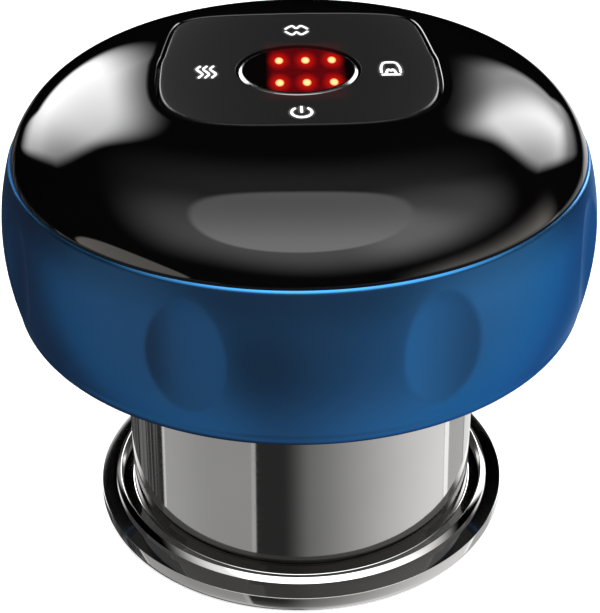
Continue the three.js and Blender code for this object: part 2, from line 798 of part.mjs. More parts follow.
function makePumpHead() {
  const end = pumpEndX + pumpHeadLength;
  const chamberStart = pumpEndX + pumpHeadWall;
  const shell = rodAlongX(pumpRadius, pumpEndX, end, pumpOffsetY, pumpHeight, mediumSegments);
  const chamberRadius = pumpRadius - pumpHeadWall;
  const chamber = rodAlongX(
    chamberRadius, chamberStart, end + cutOverrun, pumpOffsetY, pumpHeight, mediumSegments);
  const barbs = [-pumpBarbOffset, pumpBarbOffset]
    .map((y) => rodAlongX(barbRadius, pumpEndX - barbLength, chamberStart, pumpOffsetY + y, pumpHeight));
  const bores = [-pumpBarbOffset, pumpBarbOffset]
    .map((y) => rodAlongX(airwayRadius, pumpEndX - barbLength - cutOverrun, chamberStart + cutOverrun,
      pumpOffsetY + y, pumpHeight));
  return carved(joined([shell.subtract(chamber), ...barbs]), bores);
}

function makePumpDiaphragm() {
  const start = pumpEndX + pumpHeadWall + diaphragmRim;
  const disc = rodAlongX(pumpRadius - pumpHeadWall - joinGap, start, start + diaphragmThickness,
    pumpOffsetY, pumpHeight, mediumSegments);
  const boss = rodAlongX(crankRadius, start, start + 2 * diaphragmThickness, pumpOffsetY, pumpHeight);
  return disc.add(boss);
}

// Air line: a tee above the port, with silicone tubes to the port, the pump and the valve
function makeTeeFitting() {
  const cross = rodAlongX(teeRadius, -teeHalfLength, teeHalfLength, 0, teeHeight);
  const drop = rod(teeRadius, teeHeight - teeHalfLength, teeHeight);
  const reach = teeHalfLength + barbLength;
  const crossBarb = rodAlongX(barbRadius, -reach, reach, 0, teeHeight);
  const dropBarb = rod(barbRadius, teeHeight - teeHalfLength - joinGap - barbLength / 2, teeHeight);
  const bore = rodAlongX(airwayRadius, -reach - cutOverrun, reach + cutOverrun, 0, teeHeight);
  const dropBore = rod(airwayRadius, teeHeight - teeHalfLength - barbLength, teeHeight);
  return carved(joined([cross, drop, crossBarb, dropBarb]), [bore, dropBore]);
}

function tube(path, steps) {
  const ring = new THREE.Shape();
  ring.absarc(0, 0, tubeRadius, 0, 2 * Math.PI, false);
  const bore = new THREE.Path();
  bore.absarc(0, 0, tubeBoreRadius, 0, 2 * Math.PI, true);
  ring.holes.push(bore);
  const options = { steps, bevelEnabled: false, curveSegments: smallSegments / 3, extrudePath: path };
  return toSolid(new THREE.ExtrudeGeometry(ring, options));
}

function makePortTube() {
  const bottom = new THREE.Vector3(0, 0, frameTop);
  const top = new THREE.Vector3(0, 0, teeHeight - teeHalfLength - joinGap);
  return tube(new THREE.LineCurve3(bottom, top), 1);
}

function makePumpTube() {
  const barbY = pumpOffsetY - pumpBarbOffset;
  const bendStart = pumpEndX - joinGap - barbLength;
  const pumpEnd = new THREE.Vector3(pumpEndX - joinGap, barbY, pumpHeight);
  const bendIn = new THREE.Vector3(bendStart, barbY, pumpHeight);
  const bendOut = new THREE.Vector3(bendStart, 0, teeHeight);
  const reachIn = new THREE.Vector3(bendStart - tubeBendReach, barbY, pumpHeight);
  const reachOut = new THREE.Vector3(bendStart - tubeBendReach, 0, teeHeight);
  const teeEnd = new THREE.Vector3(-teeHalfLength - joinGap, 0, teeHeight);
  const path = new THREE.CurvePath();
  path.add(new THREE.LineCurve3(pumpEnd, bendIn));
  path.add(new THREE.CubicBezierCurve3(bendIn, reachIn, reachOut, bendOut));
  path.add(new THREE.LineCurve3(bendOut, teeEnd));
  return tube(path, tubeSteps);
}

function makeValveTube() {
  const teeEnd = new THREE.Vector3(teeHalfLength + joinGap, 0, teeHeight);
  const valveEnd = new THREE.Vector3(valveStartX - joinGap, 0, teeHeight);
  return tube(new THREE.LineCurve3(teeEnd, valveEnd), 1);
}

// Release valve: a body with a blind bore, and a plunger that springs outwards
const plungerStart = valveStartX + valveLength - valveBoreDepth + joinGap + valveStroke;

function makeValveBody() {
  const half = [valveWidth / 2, valveHeight / 2];
  const end = valveStartX + valveLength;
  const block = box([valveStartX, -half[0], teeHeight - half[1]], [end, half[0], teeHeight + half[1]]);
  const barb = rodAlongX(barbRadius, valveStartX - barbLength / 2, valveStartX + slideGap, 0, teeHeight);
  const boreStart = end - valveBoreDepth;
  const bore = rodAlongX(valveBoreRadius, boreStart, end + cutOverrun, 0, teeHeight);
  const airway = rodAlongX(airwayRadius, valveStartX - barbLength, boreStart + cutOverrun, 0, teeHeight);
  return carved(block.add(barb), [bore, airway]);
}

function makeValvePlunger() {
  const stemEnd = plungerStart + plungerLength;
  const stem = rodAlongX(valveBoreRadius - slideGap, plungerStart, stemEnd, 0, teeHeight);
  const buttonEnd = stemEnd + plungerButtonLength;
  return stem.add(rodAlongX(plungerButtonRadius, plungerStart, buttonEnd, 0, teeHeight));
}

// Charging socket on its small board at the rear
const socketBottom = frameTop + joinGap + chargeBoardThickness + slideGap;
const socketMiddle = socketBottom + socketHeight / 2;
const socketMouth = shellRadiusAt(socketMiddle) - socketInset;

function socketOutline(grow, end) {
  const halfWidth = socketWidth / 2 + grow;
  const halfHeight = socketHeight / 2 + grow;
  const shape = new THREE.Shape();
  shape.absarc(halfWidth - halfHeight, 0, halfHeight, -Math.PI / 2, Math.PI / 2, false);
  shape.absarc(halfHeight - halfWidth, 0, halfHeight, Math.PI / 2, Math.PI * 1.5, false);
  const start = socketMouth - socketLength;
  const options = { depth: end - start, bevelEnabled: false, curveSegments: smallSegments / 2 };
  const geometry = new THREE.ExtrudeGeometry(shape, options);
  geometry.rotateX(-Math.PI / 2);
  geometry.translate(0, start, socketMiddle);
  return toSolid(geometry);
}

function makeChargeSocket() {
  const shell = socketOutline(0, socketMouth);
  const backWall = socketMouth - socketLength + socketBackWall;
  const mouthEnd = socketMouth + cutOverrun;
  const socketTop = socketBottom + socketHeight;
  const cavity = box([-socketWidth, backWall, socketBottom], [socketWidth, mouthEnd, socketTop]);
  const hollow = socketOutline(-socketWall, mouthEnd).intersect(cavity);
  const tongue = box(
    [-tongueWidth / 2, backWall - slideGap, socketMiddle - tongueThickness / 2],
    [tongueWidth / 2, backWall + tongueLength, socketMiddle + tongueThickness / 2]);
  return shell.subtract(hollow).add(tongue);
}

function makeChargeBoard() {
  const rear = socketMouth - socketLength / 2 + slideGap;
  return box(
    [-chargeBoardWidth / 2, rear - chargeBoardLength, frameTop + joinGap],
    [chargeBoardWidth / 2, rear, frameTop + joinGap + chargeBoardThickness]);
}

// Materials, with their colour, roughness and metalness
const finishes = {
  gloss_black: [0x050506, 0.06, 0.0],
  charcoal: [0x242427, 0.38, 0.0],
  smoked_lens: [0x120404, 0.05, 0.0],
  pearl_blue: [0x123a66, 0.32, 0.55],
  black_plastic: [0x151517, 0.5, 0.0],
  plated: [0x8d8f92, 0.08, 1.0],
  seal_rubber: [0x1a1a1a, 0.8, 0.0],
  clear_lens: [0xd9e4ea, 0.05, 0.0],
  board_green: [0x0f4a2c, 0.5, 0.0],
  heater_film: [0x8a4b1c, 0.5, 0.2],
  indicator: [0xff3020, 0.3, 0.0],
  white_plastic: [0xd8d8d4, 0.5, 0.0],
  steel: [0x9a9ca0, 0.3, 1.0],
  frame_grey: [0x55585c, 0.6, 0.0],
  cell_wrap: [0x1d6fa8, 0.45, 0.0],
  motor_steel: [0xb4b6b8, 0.35, 1.0],
  brass: [0xb08d3e, 0.35, 1.0],
  silicone: [0xdfe3e4, 0.5, 0.0],
};

const model = new THREE.Group();

function place(name, solid, finish) {
  const [color, roughness, metalness] = finishes[finish];
  const material = new THREE.MeshStandardMaterial({ color, roughness, metalness });
  const mesh = new THREE.Mesh(toGeometry(solid), material);
  mesh.name = name;
  model.add(mesh);
}

place('top_cover', makeTopCover(), 'gloss_black');
place('control_panel', makeControlPanel(), 'charcoal');
place('display_lens', makeDisplayLens(), 'smoked_lens');
place('grip_shell', makeGripShell(), 'pearl_blue');
place('base_cover', makeBaseCover(), 'black_plastic');
place('cup', makeCup(), 'plated');
place('cup_seal', makeCupSeal(), 'seal_rubber');
place('light_window', makeLightWindow(), 'clear_lens');
place('heater_ring', makeHeaterRing(), 'heater_film');
place('light_board', makeLightBoard(), 'board_green');
place('port_nipple', makePortNipple(), 'white_plastic');
place('suction_filter', makeSuctionFilter(), 'white_plastic');
place('main_board', makeMainBoard(), 'board_green');
place('led_shroud', makeLedShroud(), 'black_plastic');
place('inner_frame', makeInnerFrame(), 'frame_grey');
place('battery_cell', makeBatteryCell(), 'cell_wrap');
place('pump_motor', makePumpMotor(), 'motor_steel');
place('pump_shaft', makePumpShaft(), 'steel');
place('pump_head', makePumpHead(), 'white_plastic');
place('pump_diaphragm', makePumpDiaphragm(), 'seal_rubber');
place('tee_fitting', makeTeeFitting(), 'white_plastic');
place('tube_port', makePortTube(), 'silicone');
place('tube_pump', makePumpTube(), 'silicone');
place('tube_valve', makeValveTube(), 'silicone');
place('valve_body', makeValveBody(), 'white_plastic');
place('valve_plunger', makeValvePlunger(), 'brass');
place('charge_board', makeChargeBoard(), 'board_green');
place('charge_socket', makeChargeSocket(), 'steel');
for (const [name, spot] of Object.entries(keyPlaces)) {
  place(`key_${name}`, makeKey(spot), 'black_plastic');
  place(`switch_${name}`, makeSwitch(spot), 'black_plastic');
}
ledPlaces().forEach(([x, y], index) => place(`led_${index + 1}`, makeLed(x, y), 'indicator'));
for (let index = 0; index < redLedCount; index += 1) {
  place(`red_led_${index + 1}`, makeRedLed(index), 'indicator');
}
onFourCorners(boardScrewOffset, boardScrewOffset)
  .forEach((spot, index) => place(`board_screw_${index + 1}`, makeBoardScrew(spot), 'steel'));
onFourCorners(baseScrewX, baseScrewY)
  .forEach((spot, index) => place(`base_screw_${index + 1}`, makeBaseScrew(spot), 'steel'));

export default model;
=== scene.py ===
import math

import bmesh
import bpy
import numpy as np
from mathutils import Matrix, Vector


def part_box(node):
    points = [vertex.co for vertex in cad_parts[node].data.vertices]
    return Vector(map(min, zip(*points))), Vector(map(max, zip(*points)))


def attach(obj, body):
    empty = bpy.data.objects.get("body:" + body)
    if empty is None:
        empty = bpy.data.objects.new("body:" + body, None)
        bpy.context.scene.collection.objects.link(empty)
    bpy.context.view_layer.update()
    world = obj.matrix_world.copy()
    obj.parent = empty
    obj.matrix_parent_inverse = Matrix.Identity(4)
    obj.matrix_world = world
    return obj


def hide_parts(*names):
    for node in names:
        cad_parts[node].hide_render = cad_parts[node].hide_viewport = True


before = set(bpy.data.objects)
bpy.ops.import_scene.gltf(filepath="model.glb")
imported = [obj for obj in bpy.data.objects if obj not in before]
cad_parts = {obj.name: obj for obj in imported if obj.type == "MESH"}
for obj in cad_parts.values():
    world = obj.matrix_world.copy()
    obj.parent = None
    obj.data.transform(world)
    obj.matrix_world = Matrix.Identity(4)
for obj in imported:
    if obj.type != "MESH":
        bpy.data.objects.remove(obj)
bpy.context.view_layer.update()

MM = 0.001
JOIN_GAP = 0.3
SLIDE_GAP = 0.1


def box_mm(node):
    low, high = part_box(node)
    return np.array(low) / MM, np.array(high) / MM


def plan_middle(node):
    low, high = box_mm(node)
    return (low[0] + high[0]) / 2, (low[1] + high[1]) / 2


# Sizes read from the frame
shell_low, shell_high = box_mm("grip_shell")
cover_low, cover_high = box_mm("top_cover")
panel_low, panel_high = box_mm("control_panel")
lens_low, lens_high = box_mm("display_lens")
cup_high = box_mm("cup")[1]
base_low, base_high = box_mm("base_cover")
seal_low, seal_high = box_mm("cup_seal")
window_low, window_high = box_mm("light_window")
port_low, port_high = box_mm("port_nipple")
filter_low, filter_high = box_mm("suction_filter")
socket_low, socket_high = box_mm("charge_socket")
SEAL_MIDDLE = (seal_low[2] + seal_high[2]) / 2
SEAL_SECTION = (seal_high[2] - seal_low[2]) / 2
SOCKET_MIDDLE = (socket_high[2] + socket_low[2]) / 2

# Smoothness of round surfaces
SEGMENTS = 256
SHELL_SEGMENTS = 768
SMALL_SEGMENTS = 64
SQUIRCLE_STEPS = 40 * SEGMENTS
VENT_SEGMENTS = 12
SOCKET_SEGMENTS = 48
SHARP_ANGLE = math.radians(32)

# Dome, from its seam with the shell to just below the overlay's top
DOME_RADIUS = cover_high[0]
DOME_BASE = shell_high[2] + JOIN_GAP
TOP_MARGIN = 0.06
DOME_TOP = panel_high[2] - TOP_MARGIN
DOME_PLAN_SHARE = 6.4
DOME_RISE_SHARE = 1.32
DOME_STEPS = 56
CROWN_SHARE = 0.55
SKIRT_WALL = 1.8
SKIRT_RADIUS = DOME_RADIUS - 2.35
SKIRT_BOTTOM = cover_low[2] + 4.0
HAUNCH_INSET, HAUNCH_RISE = 6.4, 5.0
FLOOR_INSET, FLOOR_WALL = 12.0, 1.5

# Control panel in its recess, and the display in the panel
PANEL_FRONT_SHARE = 3.5
PANEL_REAR_SHARE = 9.0
PANEL_TAPER = 0.09
PANEL_CENTRE_Y = (panel_low[1] + panel_high[1]) / 2
RECESS_MARGIN = 0.1
RECESS_HALF_WIDTH = panel_high[0] + RECESS_MARGIN
RECESS_HALF_DEPTH = (panel_high[1] - panel_low[1]) / 2 + RECESS_MARGIN
RECESS_ROUND = 0.28
PANEL_GAP = 0.42
PANEL_ROUND = 0.32
ROUND_STEPS = 6
FACE_STEPS = 24
DISPLAY_RADIUS = lens_high[0] + JOIN_GAP
DISPLAY_ROUND = 0.12
LENS_LEDGE = 1.2
LENS_EDGE_WIDTH = 0.85
LENS_EDGE_DROP = 0.5
LENS_EDGE_STEPS = 13
LENS_MIDDLE = 0.5
LENS_DROP = 0.06

# Grip shell
CHAMFER = 0.28
SHELL_RADIUS = shell_high[0]
SIDE_BOTTOM = shell_low[2] + 2.9
SIDE_TOP = shell_high[2] - CHAMFER
FOOT_RADIUS = SHELL_RADIUS - 1.4
SEAM_RADIUS = DOME_RADIUS + 0.5
WIDE_SHARE = 0.485
SHELL_WALL = 2.6
BELLY_THINNING = 0.4
LIP_WALL = 2.0
LIP_INSET = 10.0
DIMPLES = 8
DIMPLE_TURN = math.radians(1.2)
DIMPLE_HALF_WIDTH = 6.1
DIMPLE_HALF_HEIGHT = 9.0
DIMPLE_HEIGHT = 56.0
DIMPLE_DEPTH = 1.25
DIMPLE_SOFTNESS = 0.07
SIDE_STEPS = 72


# Mesh building
def ring(xy, height):
    """Points of one closed ring: plan places, and one height or a height for each."""
    return np.column_stack([xy, np.broadcast_to(height, len(xy))])


def turn(count=SEGMENTS):
    return np.linspace(0, 2 * math.pi, count, endpoint=False)


def quarter_turn(count):
    return np.radians(np.linspace(0, 90, count))


def circle(radius, count=SEGMENTS):
    angle = turn(count)
    return np.column_stack([radius * np.cos(angle), radius * np.sin(angle)])


def squircle(half_width, half_depth, centre_y):
    """A square with bulging sides, wide round corners at the front and tighter ones at the
    tapering rear, as plan places at even angles about its centre."""
    walk = np.linspace(-math.pi / 2, 1.5 * math.pi, SQUIRCLE_STEPS, endpoint=False)
    power = np.where(np.sin(walk) < 0, 2 / PANEL_FRONT_SHARE, 2 / PANEL_REAR_SHARE)
    across, along = [np.sign(wave) * np.abs(wave) ** power for wave in (np.cos(walk), np.sin(walk))]
    x = half_width * across * (1 - PANEL_TAPER * np.maximum(along, 0))
    y = half_depth * along
    angle = turn()
    bearing = np.arctan2(y, x) % (2 * math.pi)
    order = np.argsort(bearing)
    reach = np.interp(angle, bearing[order], np.hypot(x, y)[order], period=2 * math.pi)
    return np.column_stack([reach * np.cos(angle), centre_y + reach * np.sin(angle)])


def show(name, data):
    """Puts a mesh or a camera into the scene."""
    made = bpy.data.objects.new(name, data)
    bpy.context.scene.collection.objects.link(made)
    return made


def make_object(name, points, faces, materials, face_slots=None):
    mesh = bpy.data.meshes.new(name)
    mesh.from_pydata([tuple(p) for p in points * MM], [], faces)
    for material in materials:
        mesh.materials.append(MATERIALS[material])
    if face_slots:
        mesh.polygons.foreach_set("material_index", face_slots)
    edit = bmesh.new()
    edit.from_mesh(mesh)
    bmesh.ops.recalc_face_normals(edit, faces=edit.faces)
    edit.to_mesh(mesh)
    edit.free()
    mesh.shade_smooth()
    mesh.set_sharp_from_angle(angle=SHARP_ANGLE)
    return show(name, mesh)


def weave(rings, looped=False, offset=0):
    """Faces between rings of equal count. A looped body has no ends; others get a flat cap at each."""
    count = len(rings[0])
    faces = []
    for band in range(len(rings) if looped else len(rings) - 1):
        here, there = offset + band * count, offset + (band + 1) % len(rings) * count
        for i in range(count):
            j = (i + 1) % count
            faces.append((here + i, here + j, there + j, there + i))
    if not looped:
        last = offset + (len(rings) - 1) * count
        faces.append(tuple(range(offset + count - 1, offset - 1, -1)))
        faces.append(tuple(range(last, last + count)))
    return faces


def skin(name, rings, materials, looped=False, slots=None):
    """Joins rings into one closed body. slots gives the material of the band that follows each ring, and
    caps take the first."""
    faces = weave(rings, looped)
    face_slots = None
    if slots:
        count = len(rings[0])
        face_slots = np.repeat(slots[:len(faces) // count], count).tolist()
        face_slots += [0] * (len(faces) - len(face_slots))
    return make_object(name, np.concatenate(rings), faces, materials, face_slots)


def lathe(name, outline, materials, looped=True, slots=None, count=SEGMENTS, centre=(0.0, 0.0)):
    """A turned body about the vertical through centre. The outline is a list of (radius, height)."""
    rings = [ring(circle(radius, count) + centre, height) for radius, height in outline]
    return skin(name, rings, materials, looped, slots)


def arc(centre_radius, centre_height, radius, start, end, steps):
    """Points of an arc in the outline plane, with angles in degrees from the outward direction."""
    angles = np.radians(np.linspace(start, end, steps + 1))
    return [(centre_radius + radius * math.cos(a), centre_height + radius * math.sin(a)) for a in angles]


def place(piece, body, slot, *nodes):
    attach(piece, body)
    if nodes:
        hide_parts(*nodes)


def cut(piece, cutter):
    """Cuts one closed body out of another and removes the cutter."""
    modifier = piece.modifiers.new("cut", "BOOLEAN")
    modifier.operation = "DIFFERENCE"
    modifier.solver = "EXACT"
    modifier.object = cutter
    bpy.context.view_layer.update()
    evaluated = piece.evaluated_get(bpy.context.evaluated_depsgraph_get())
    mesh = bpy.data.meshes.new_from_object(evaluated)
    piece.modifiers.clear()
    old = piece.data
    piece.data = mesh
    bpy.data.meshes.remove(old)
    bpy.data.objects.remove(cutter)
    piece.data.set_sharp_from_angle(angle=SHARP_ANGLE)


# Node building
class Nodes:
    """Short calls for the nodes of one material or world."""

    def __init__(self, tree):
        self.tree = tree
        self.tree.nodes.clear()

    def put(self, socket, value):
        if isinstance(value, bpy.types.NodeSocket):
            self.tree.links.new(value, socket)
        else:
            socket.default_value = value

    def add(self, kind, inputs=(), **settings):
        node = self.tree.nodes.new(kind)
        for key, value in settings.items():
            setattr(node, key, value)
        for name, value in dict(inputs).items():
            self.put(node.inputs[name], value)
        return node

    def math(self, operation, *values):
        node = self.add("ShaderNodeMath", operation=operation)
        for socket, value in zip(node.inputs, values):
            self.put(socket, value)
        return node.outputs[0]

    def chain(self, operation, values):
        result = values[0]
        for value in values[1:]:
            result = self.math(operation, result, value)
        return result

    def product(self, *values):
        return self.chain("MULTIPLY", values)

    def total(self, *values):
        return self.chain("ADD", values)

    def minus(self, first, second):
        return self.math("SUBTRACT", first, second)

    def rest(self, value):
        return self.minus(1.0, value)

    def ratio(self, first, second):
        return self.math("DIVIDE", first, second)

    def at_least(self, value, least):
        return self.math("MAXIMUM", value, least)

    def apart(self, first, second):
        return self.math("ABSOLUTE", self.minus(first, second))

    def length(self, first, second):
        return self.math("SQRT", self.total(self.product(first, first), self.product(second, second)))

    def step(self, value, low, high, out_low=0.0, out_high=1.0):
        """A smooth change from out_low at low to out_high at high."""
        if high < low:
            low, high, out_low, out_high = high, low, out_high, out_low
        inputs = {"Value": value, "From Min": low, "From Max": high, "To Min": out_low, "To Max": out_high}
        return self.add("ShaderNodeMapRange", inputs, interpolation_type="SMOOTHSTEP").outputs["Result"]

    def band(self, value, low, high, soft_low, soft_high=None):
        """One between low and high, fading to nothing over soft widths outside."""
        soft_high = soft_low if soft_high is None else soft_high
        return self.product(self.step(value, low - soft_low, low),
                            self.step(value, high, high + soft_high, 1.0, 0.0))

    def mix(self, factor, first, second):
        node = self.add("ShaderNodeMix", data_type="RGBA")
        self.put(node.inputs["Factor"], factor)
        for name, value in (("A", first), ("B", second)):
            socket = [s for s in node.inputs if s.name == name and s.type == "RGBA"][0]
            self.put(socket, value if isinstance(value, bpy.types.NodeSocket) else (*value, 1.0))
        return [s for s in node.outputs if s.type == "RGBA"][0]

    def blend_rgb(self, red, green, blue):
        return self.add("ShaderNodeCombineColor", {"Red": red, "Green": green, "Blue": blue}).outputs[0]

    def noise(self, vector, scale, detail=2.0):
        inputs = {"Vector": vector, "Scale": scale, "Detail": detail}
        return self.add("ShaderNodeTexNoise", inputs).outputs["Fac"]

    def split(self, vector):
        return self.add("ShaderNodeSeparateXYZ", {"Vector": vector}).outputs[:]

    def scaled(self, vector, scale):
        return self.add("ShaderNodeMapping", {"Vector": vector, "Scale": scale}).outputs[0]


# Materials
WHITE = (1.0, 1.0, 1.0)
# noise keeps mostly between these
NOISE_LOW, NOISE_HIGH = 0.3, 0.7


class Surface(Nodes):
    """The nodes of one material: a shader, and patterns in the object's own space that drive it."""

    def __init__(self, name):
        self.material = bpy.data.materials.new(name)
        self.material.use_nodes = True
        super().__init__(self.material.node_tree)
        self.shader = self.add("ShaderNodeBsdfPrincipled")
        self.add("ShaderNodeOutputMaterial", {"Surface": self.shader.outputs[0]})
        self.where = self.add("ShaderNodeTexCoord").outputs["Object"]

    def grain(self, scale, detail=2.0):
        return self.noise(self.where, scale, detail)

    def lines(self, *scales):
        return self.noise(self.scaled(self.where, scales), 1.0)

    def waver(self, pattern, low, high):
        return self.step(pattern, NOISE_LOW, NOISE_HIGH, low, high)

    def set(self, name, value):
        self.put(self.shader.inputs[name], value)

    def tint(self, pattern, first, second):
        self.set("Base Color", self.mix(pattern, first, second))

    def rough(self, pattern, low, high):
        self.set("Roughness", self.waver(pattern, low, high))

    def finish(self, pattern, first, second, low, high):
        """Shade and roughness that waver together with one pattern."""
        self.tint(pattern, first, second)
        self.rough(pattern, low, high)

    def glow(self, colour, strength):
        self.set("Emission Color", (*colour, 1.0))
        self.set("Emission Strength", strength)

    def bump(self, height, strength, depth):
        """Fine relief, with its depth in millimetres."""
        inputs = {"Height": height, "Strength": strength, "Distance": depth * MM}
        self.set("Normal", self.add("ShaderNodeBump", inputs).outputs[0])


def plastic(name, colour, roughness, grain=600.0, depth=0.02, coat=0.0):
    """Moulded or painted surface: slight shade changes, uneven gloss and a fine grain."""
    shade, spread = 0.12, 0.08
    look = Surface(name)
    fine = look.grain(grain * 8)
    look.tint(look.grain(grain / 12, 3.0), tuple(c * (1 - shade) for c in colour),
              tuple(c * (1 + shade) for c in colour))
    look.rough(fine, roughness - spread, roughness + spread)
    look.bump(fine, 0.25, depth)
    look.set("Coat Weight", coat)
    look.set("Coat Roughness", 0.04)
    return look.material


def gloss_black():
    """Piano black: a mirror-smooth lacquer with a faint cloud in its depth."""
    look = Surface("gloss_black")
    look.tint(look.grain(60.0, 3.0), (0.0010, 0.0010, 0.0011), (0.0018, 0.0018, 0.002))
    look.set("Roughness", 0.0)
    return look.material


def panel_charcoal():
    """Satin overlay film, with a faint painted red glow beside the display window, standing in for the
    display's light on the film.
    """
    look = Surface("panel_charcoal")
    fine = look.grain(9000.0)
    look.tint(look.grain(90.0), (0.0020, 0.0020, 0.0021), (0.0028, 0.0028, 0.0030))
    look.rough(fine, 0.36, 0.48)
    look.bump(fine, 0.2, 0.01)
    look.set("Specular IOR Level", 0.05)
    # Painted glow: the film gets red emission beside the display, as if the display lit it.
    spill_left, spill_right, spill_soft = -4.0 * MM, 5.8 * MM, 2.5 * MM
    spill_start, spill_end, spill_shift = 9.4 * MM, 12.2 * MM, 0.3 * MM
    x, y = look.split(look.where)[:2]
    off = look.math("ABSOLUTE", look.total(y, spill_shift))
    painted_red_glow = look.product(look.band(x, spill_left, spill_right, spill_soft),
                         look.step(off, spill_start, spill_end, 1.0, 0.0), 0.02)
    look.glow((1.0, 0.02, 0.01), painted_red_glow)
    return look.material


# The light leaves the glass a little in front of each indicator
SPOT_SHIFT_X, SPOT_SHIFT_Y = 0.3, -0.7
INDICATORS = [plan_middle(f"led_{i + 1}") for i in range(6)]
DOTS = [(x + SPOT_SHIFT_X, y + SPOT_SHIFT_Y) for x, y in INDICATORS]


def smoked_lens():
    """Black glass over the indicators, with their light painted on it as emission: six warm dots, each with
    an orange halo, in a red glow.
    """
    core_inner, core_outer, halo_inner, halo_outer, stretch = 0.38, 0.76, 0.4, 2.2, 0.25
    glow_side, glow_side_soft, glow_front, glow_rear, glow_end_soft = 4.9, 1.5, 7.0, 7.6, 4.0
    glow_colour, halo_colour, core_colour = (0.13, 0.001, 0.003), (0.42, 0.004, 0.0), (2.4, 0.95, 0.38)
    look = Surface("smoked_lens")
    x, y = look.split(look.where)[:2]
    core, halo = 0.0, 0.0
    for dot_x, dot_y in DOTS:
        dx = look.product(look.minus(x, dot_x * MM), 1 / MM)
        dy = look.product(look.minus(y, dot_y * MM), 1 / MM)
        away = look.math("SQRT", look.total(look.product(dx, dx), look.product(dy, dy, stretch)))
        core = look.at_least(core, look.step(away, core_inner, core_outer, 1.0, 0.0))
        halo = look.total(halo, look.step(away, halo_inner, halo_outer, 1.0, 0.0))
    middle_x, middle_y = [(min(places) + max(places)) / 2 for places in zip(*DOTS)]
    cloud = look.grain(700.0, 3.0)
    glow = look.product(
        look.band(x, (middle_x - glow_side) * MM, (middle_x + glow_side) * MM, glow_side_soft * MM),
        look.band(y, (middle_y - glow_front) * MM, (middle_y + glow_rear) * MM, glow_end_soft * MM),
        look.step(cloud, 0.25, 0.75, 0.7, 1.0))
    # Painted glow: the indicators' light is emission on the glass itself, not light from the lamps behind
    # it.
    channels = [look.total(look.product(glow, a), look.product(halo, b), look.product(core, c))
                for a, b, c in zip(glow_colour, halo_colour, core_colour)]
    look.set("Emission Color", look.blend_rgb(*channels))
    look.set("Emission Strength", 1.0)
    look.finish(cloud, (0.001, 0.001, 0.001), (0.002, 0.001, 0.001), 0.05, 0.09)
    return look.material


def lens_edge():
    """Polished rim of the display window."""
    look = Surface("lens_edge")
    look.finish(look.grain(400.0), (0.30, 0.295, 0.295), (0.36, 0.355, 0.355), 0.10, 0.16)
    look.set("Metallic", 1.0)
    return look.material


def panel_edge():
    """Rounded rim of the overlay, glossier than its face."""
    look = Surface("panel_edge")
    look.finish(look.grain(500.0), (0.006, 0.006, 0.006), (0.010, 0.010, 0.010), 0.20, 0.28)
    look.set("Specular IOR Level", 0.16)
    return look.material


def pearl_blue():
    """Satin metallic paint: a deep blue with fine flakes and a soft clear coat, with painted shade near its
    top and foot and a faint painted glow.
    """
    top_shade, top_reach, foot_shade, foot_reach = 0.30, 6.0, 0.8, 2.4
    look = Surface("pearl_blue")
    flakes = look.grain(16000.0, 1.0)
    cloud = look.grain(45.0, 3.0)
    base = look.mix(cloud, (0.018, 0.116, 0.30), (0.022, 0.130, 0.34))
    blue = look.mix(look.step(flakes, 0.55, 0.8), base, (0.016, 0.18, 0.49))
    z = look.split(look.where)[2]
    # Painted shade: the blue is darkened towards the top, under the dome's rim, and along the foot.
    shade = look.total(
        look.step(z, (SIDE_TOP - top_reach) * MM, SIDE_TOP * MM, 0.0, top_shade),
        look.step(z, shell_low[2] * MM, (shell_low[2] + foot_reach) * MM, foot_shade, 0.0))
    look.tint(shade, blue, (0.002, 0.02, 0.05))
    look.rough(flakes, 0.30, 0.38)
    look.bump(flakes, 0.06, 0.02)
    # Painted glow: a faint white emission lifts the paint's dark tones; the paint is no lamp.
    look.glow(WHITE, look.waver(cloud, 0.006, 0.008))
    look.set("Metallic", 1.0)
    look.set("Specular Tint", (0.20, 0.42, 0.72, 1.0))
    look.set("Coat Weight", 0.05)
    look.set("Coat Roughness", 0.30)
    return look.material


def polished_blue():
    """Machined and tinted edge of the shell, its colour painted lighter than its sides as a highlight along
    the chamfer.
    """
    look = Surface("polished_blue")
    # Painted highlight: the base colour is lighter than the sides' to stand in for light that the chamfer
    # catches.
    look.finish(look.lines(200.0, 200.0, 9000.0), (0.035, 0.20, 0.48), (0.05, 0.25, 0.56), 0.26, 0.34)
    look.set("Metallic", 1.0)
    return look.material


def dark_chrome():
    """Plated steel with a smoky mirror finish and faint turning lines."""
    look = Surface("dark_chrome")
    lines = look.lines(40.0, 40.0, 5200.0)
    look.tint(look.grain(70.0), (0.60, 0.59, 0.58), (0.66, 0.655, 0.65))
    look.rough(lines, 0.035, 0.075)
    look.bump(lines, 0.05, 0.004)
    look.set("Metallic", 1.0)
    return look.material


def brushed_metal(name, colour, roughness):
    look = Surface(name)
    darker = tuple(c * 0.8 for c in colour)
    look.finish(look.lines(6000.0, 300.0, 300.0), darker, colour, roughness - 0.06, roughness + 0.08)
    look.set("Metallic", 1.0)
    return look.material


def icon_white():
    """White print with a faint painted glow."""
    look = Surface("icon_white")
    fine = look.grain(7000.0)
    look.finish(fine, (0.80, 0.80, 0.80), (0.9, 0.9, 0.9), 0.4, 0.55)
    # Painted glow: the print is no lamp; a faint white emission brightens it.
    look.glow(WHITE, look.waver(fine, 0.42, 0.5))
    return look.material


def clear_window():
    look = Surface("clear_window")
    look.finish(look.grain(300.0), (0.86, 0.88, 0.88), (0.95, 0.96, 0.96), 0.04, 0.10)
    look.set("Transmission Weight", 0.9)
    look.set("IOR", 1.49)
    return look.material


def silicone():
    look = Surface("silicone")
    look.finish(look.grain(800.0), (0.62, 0.64, 0.65), (0.74, 0.76, 0.77), 0.35, 0.5)
    look.set("Subsurface Weight", 0.2)
    look.set("Subsurface Radius", (0.002, 0.002, 0.002))
    return look.material


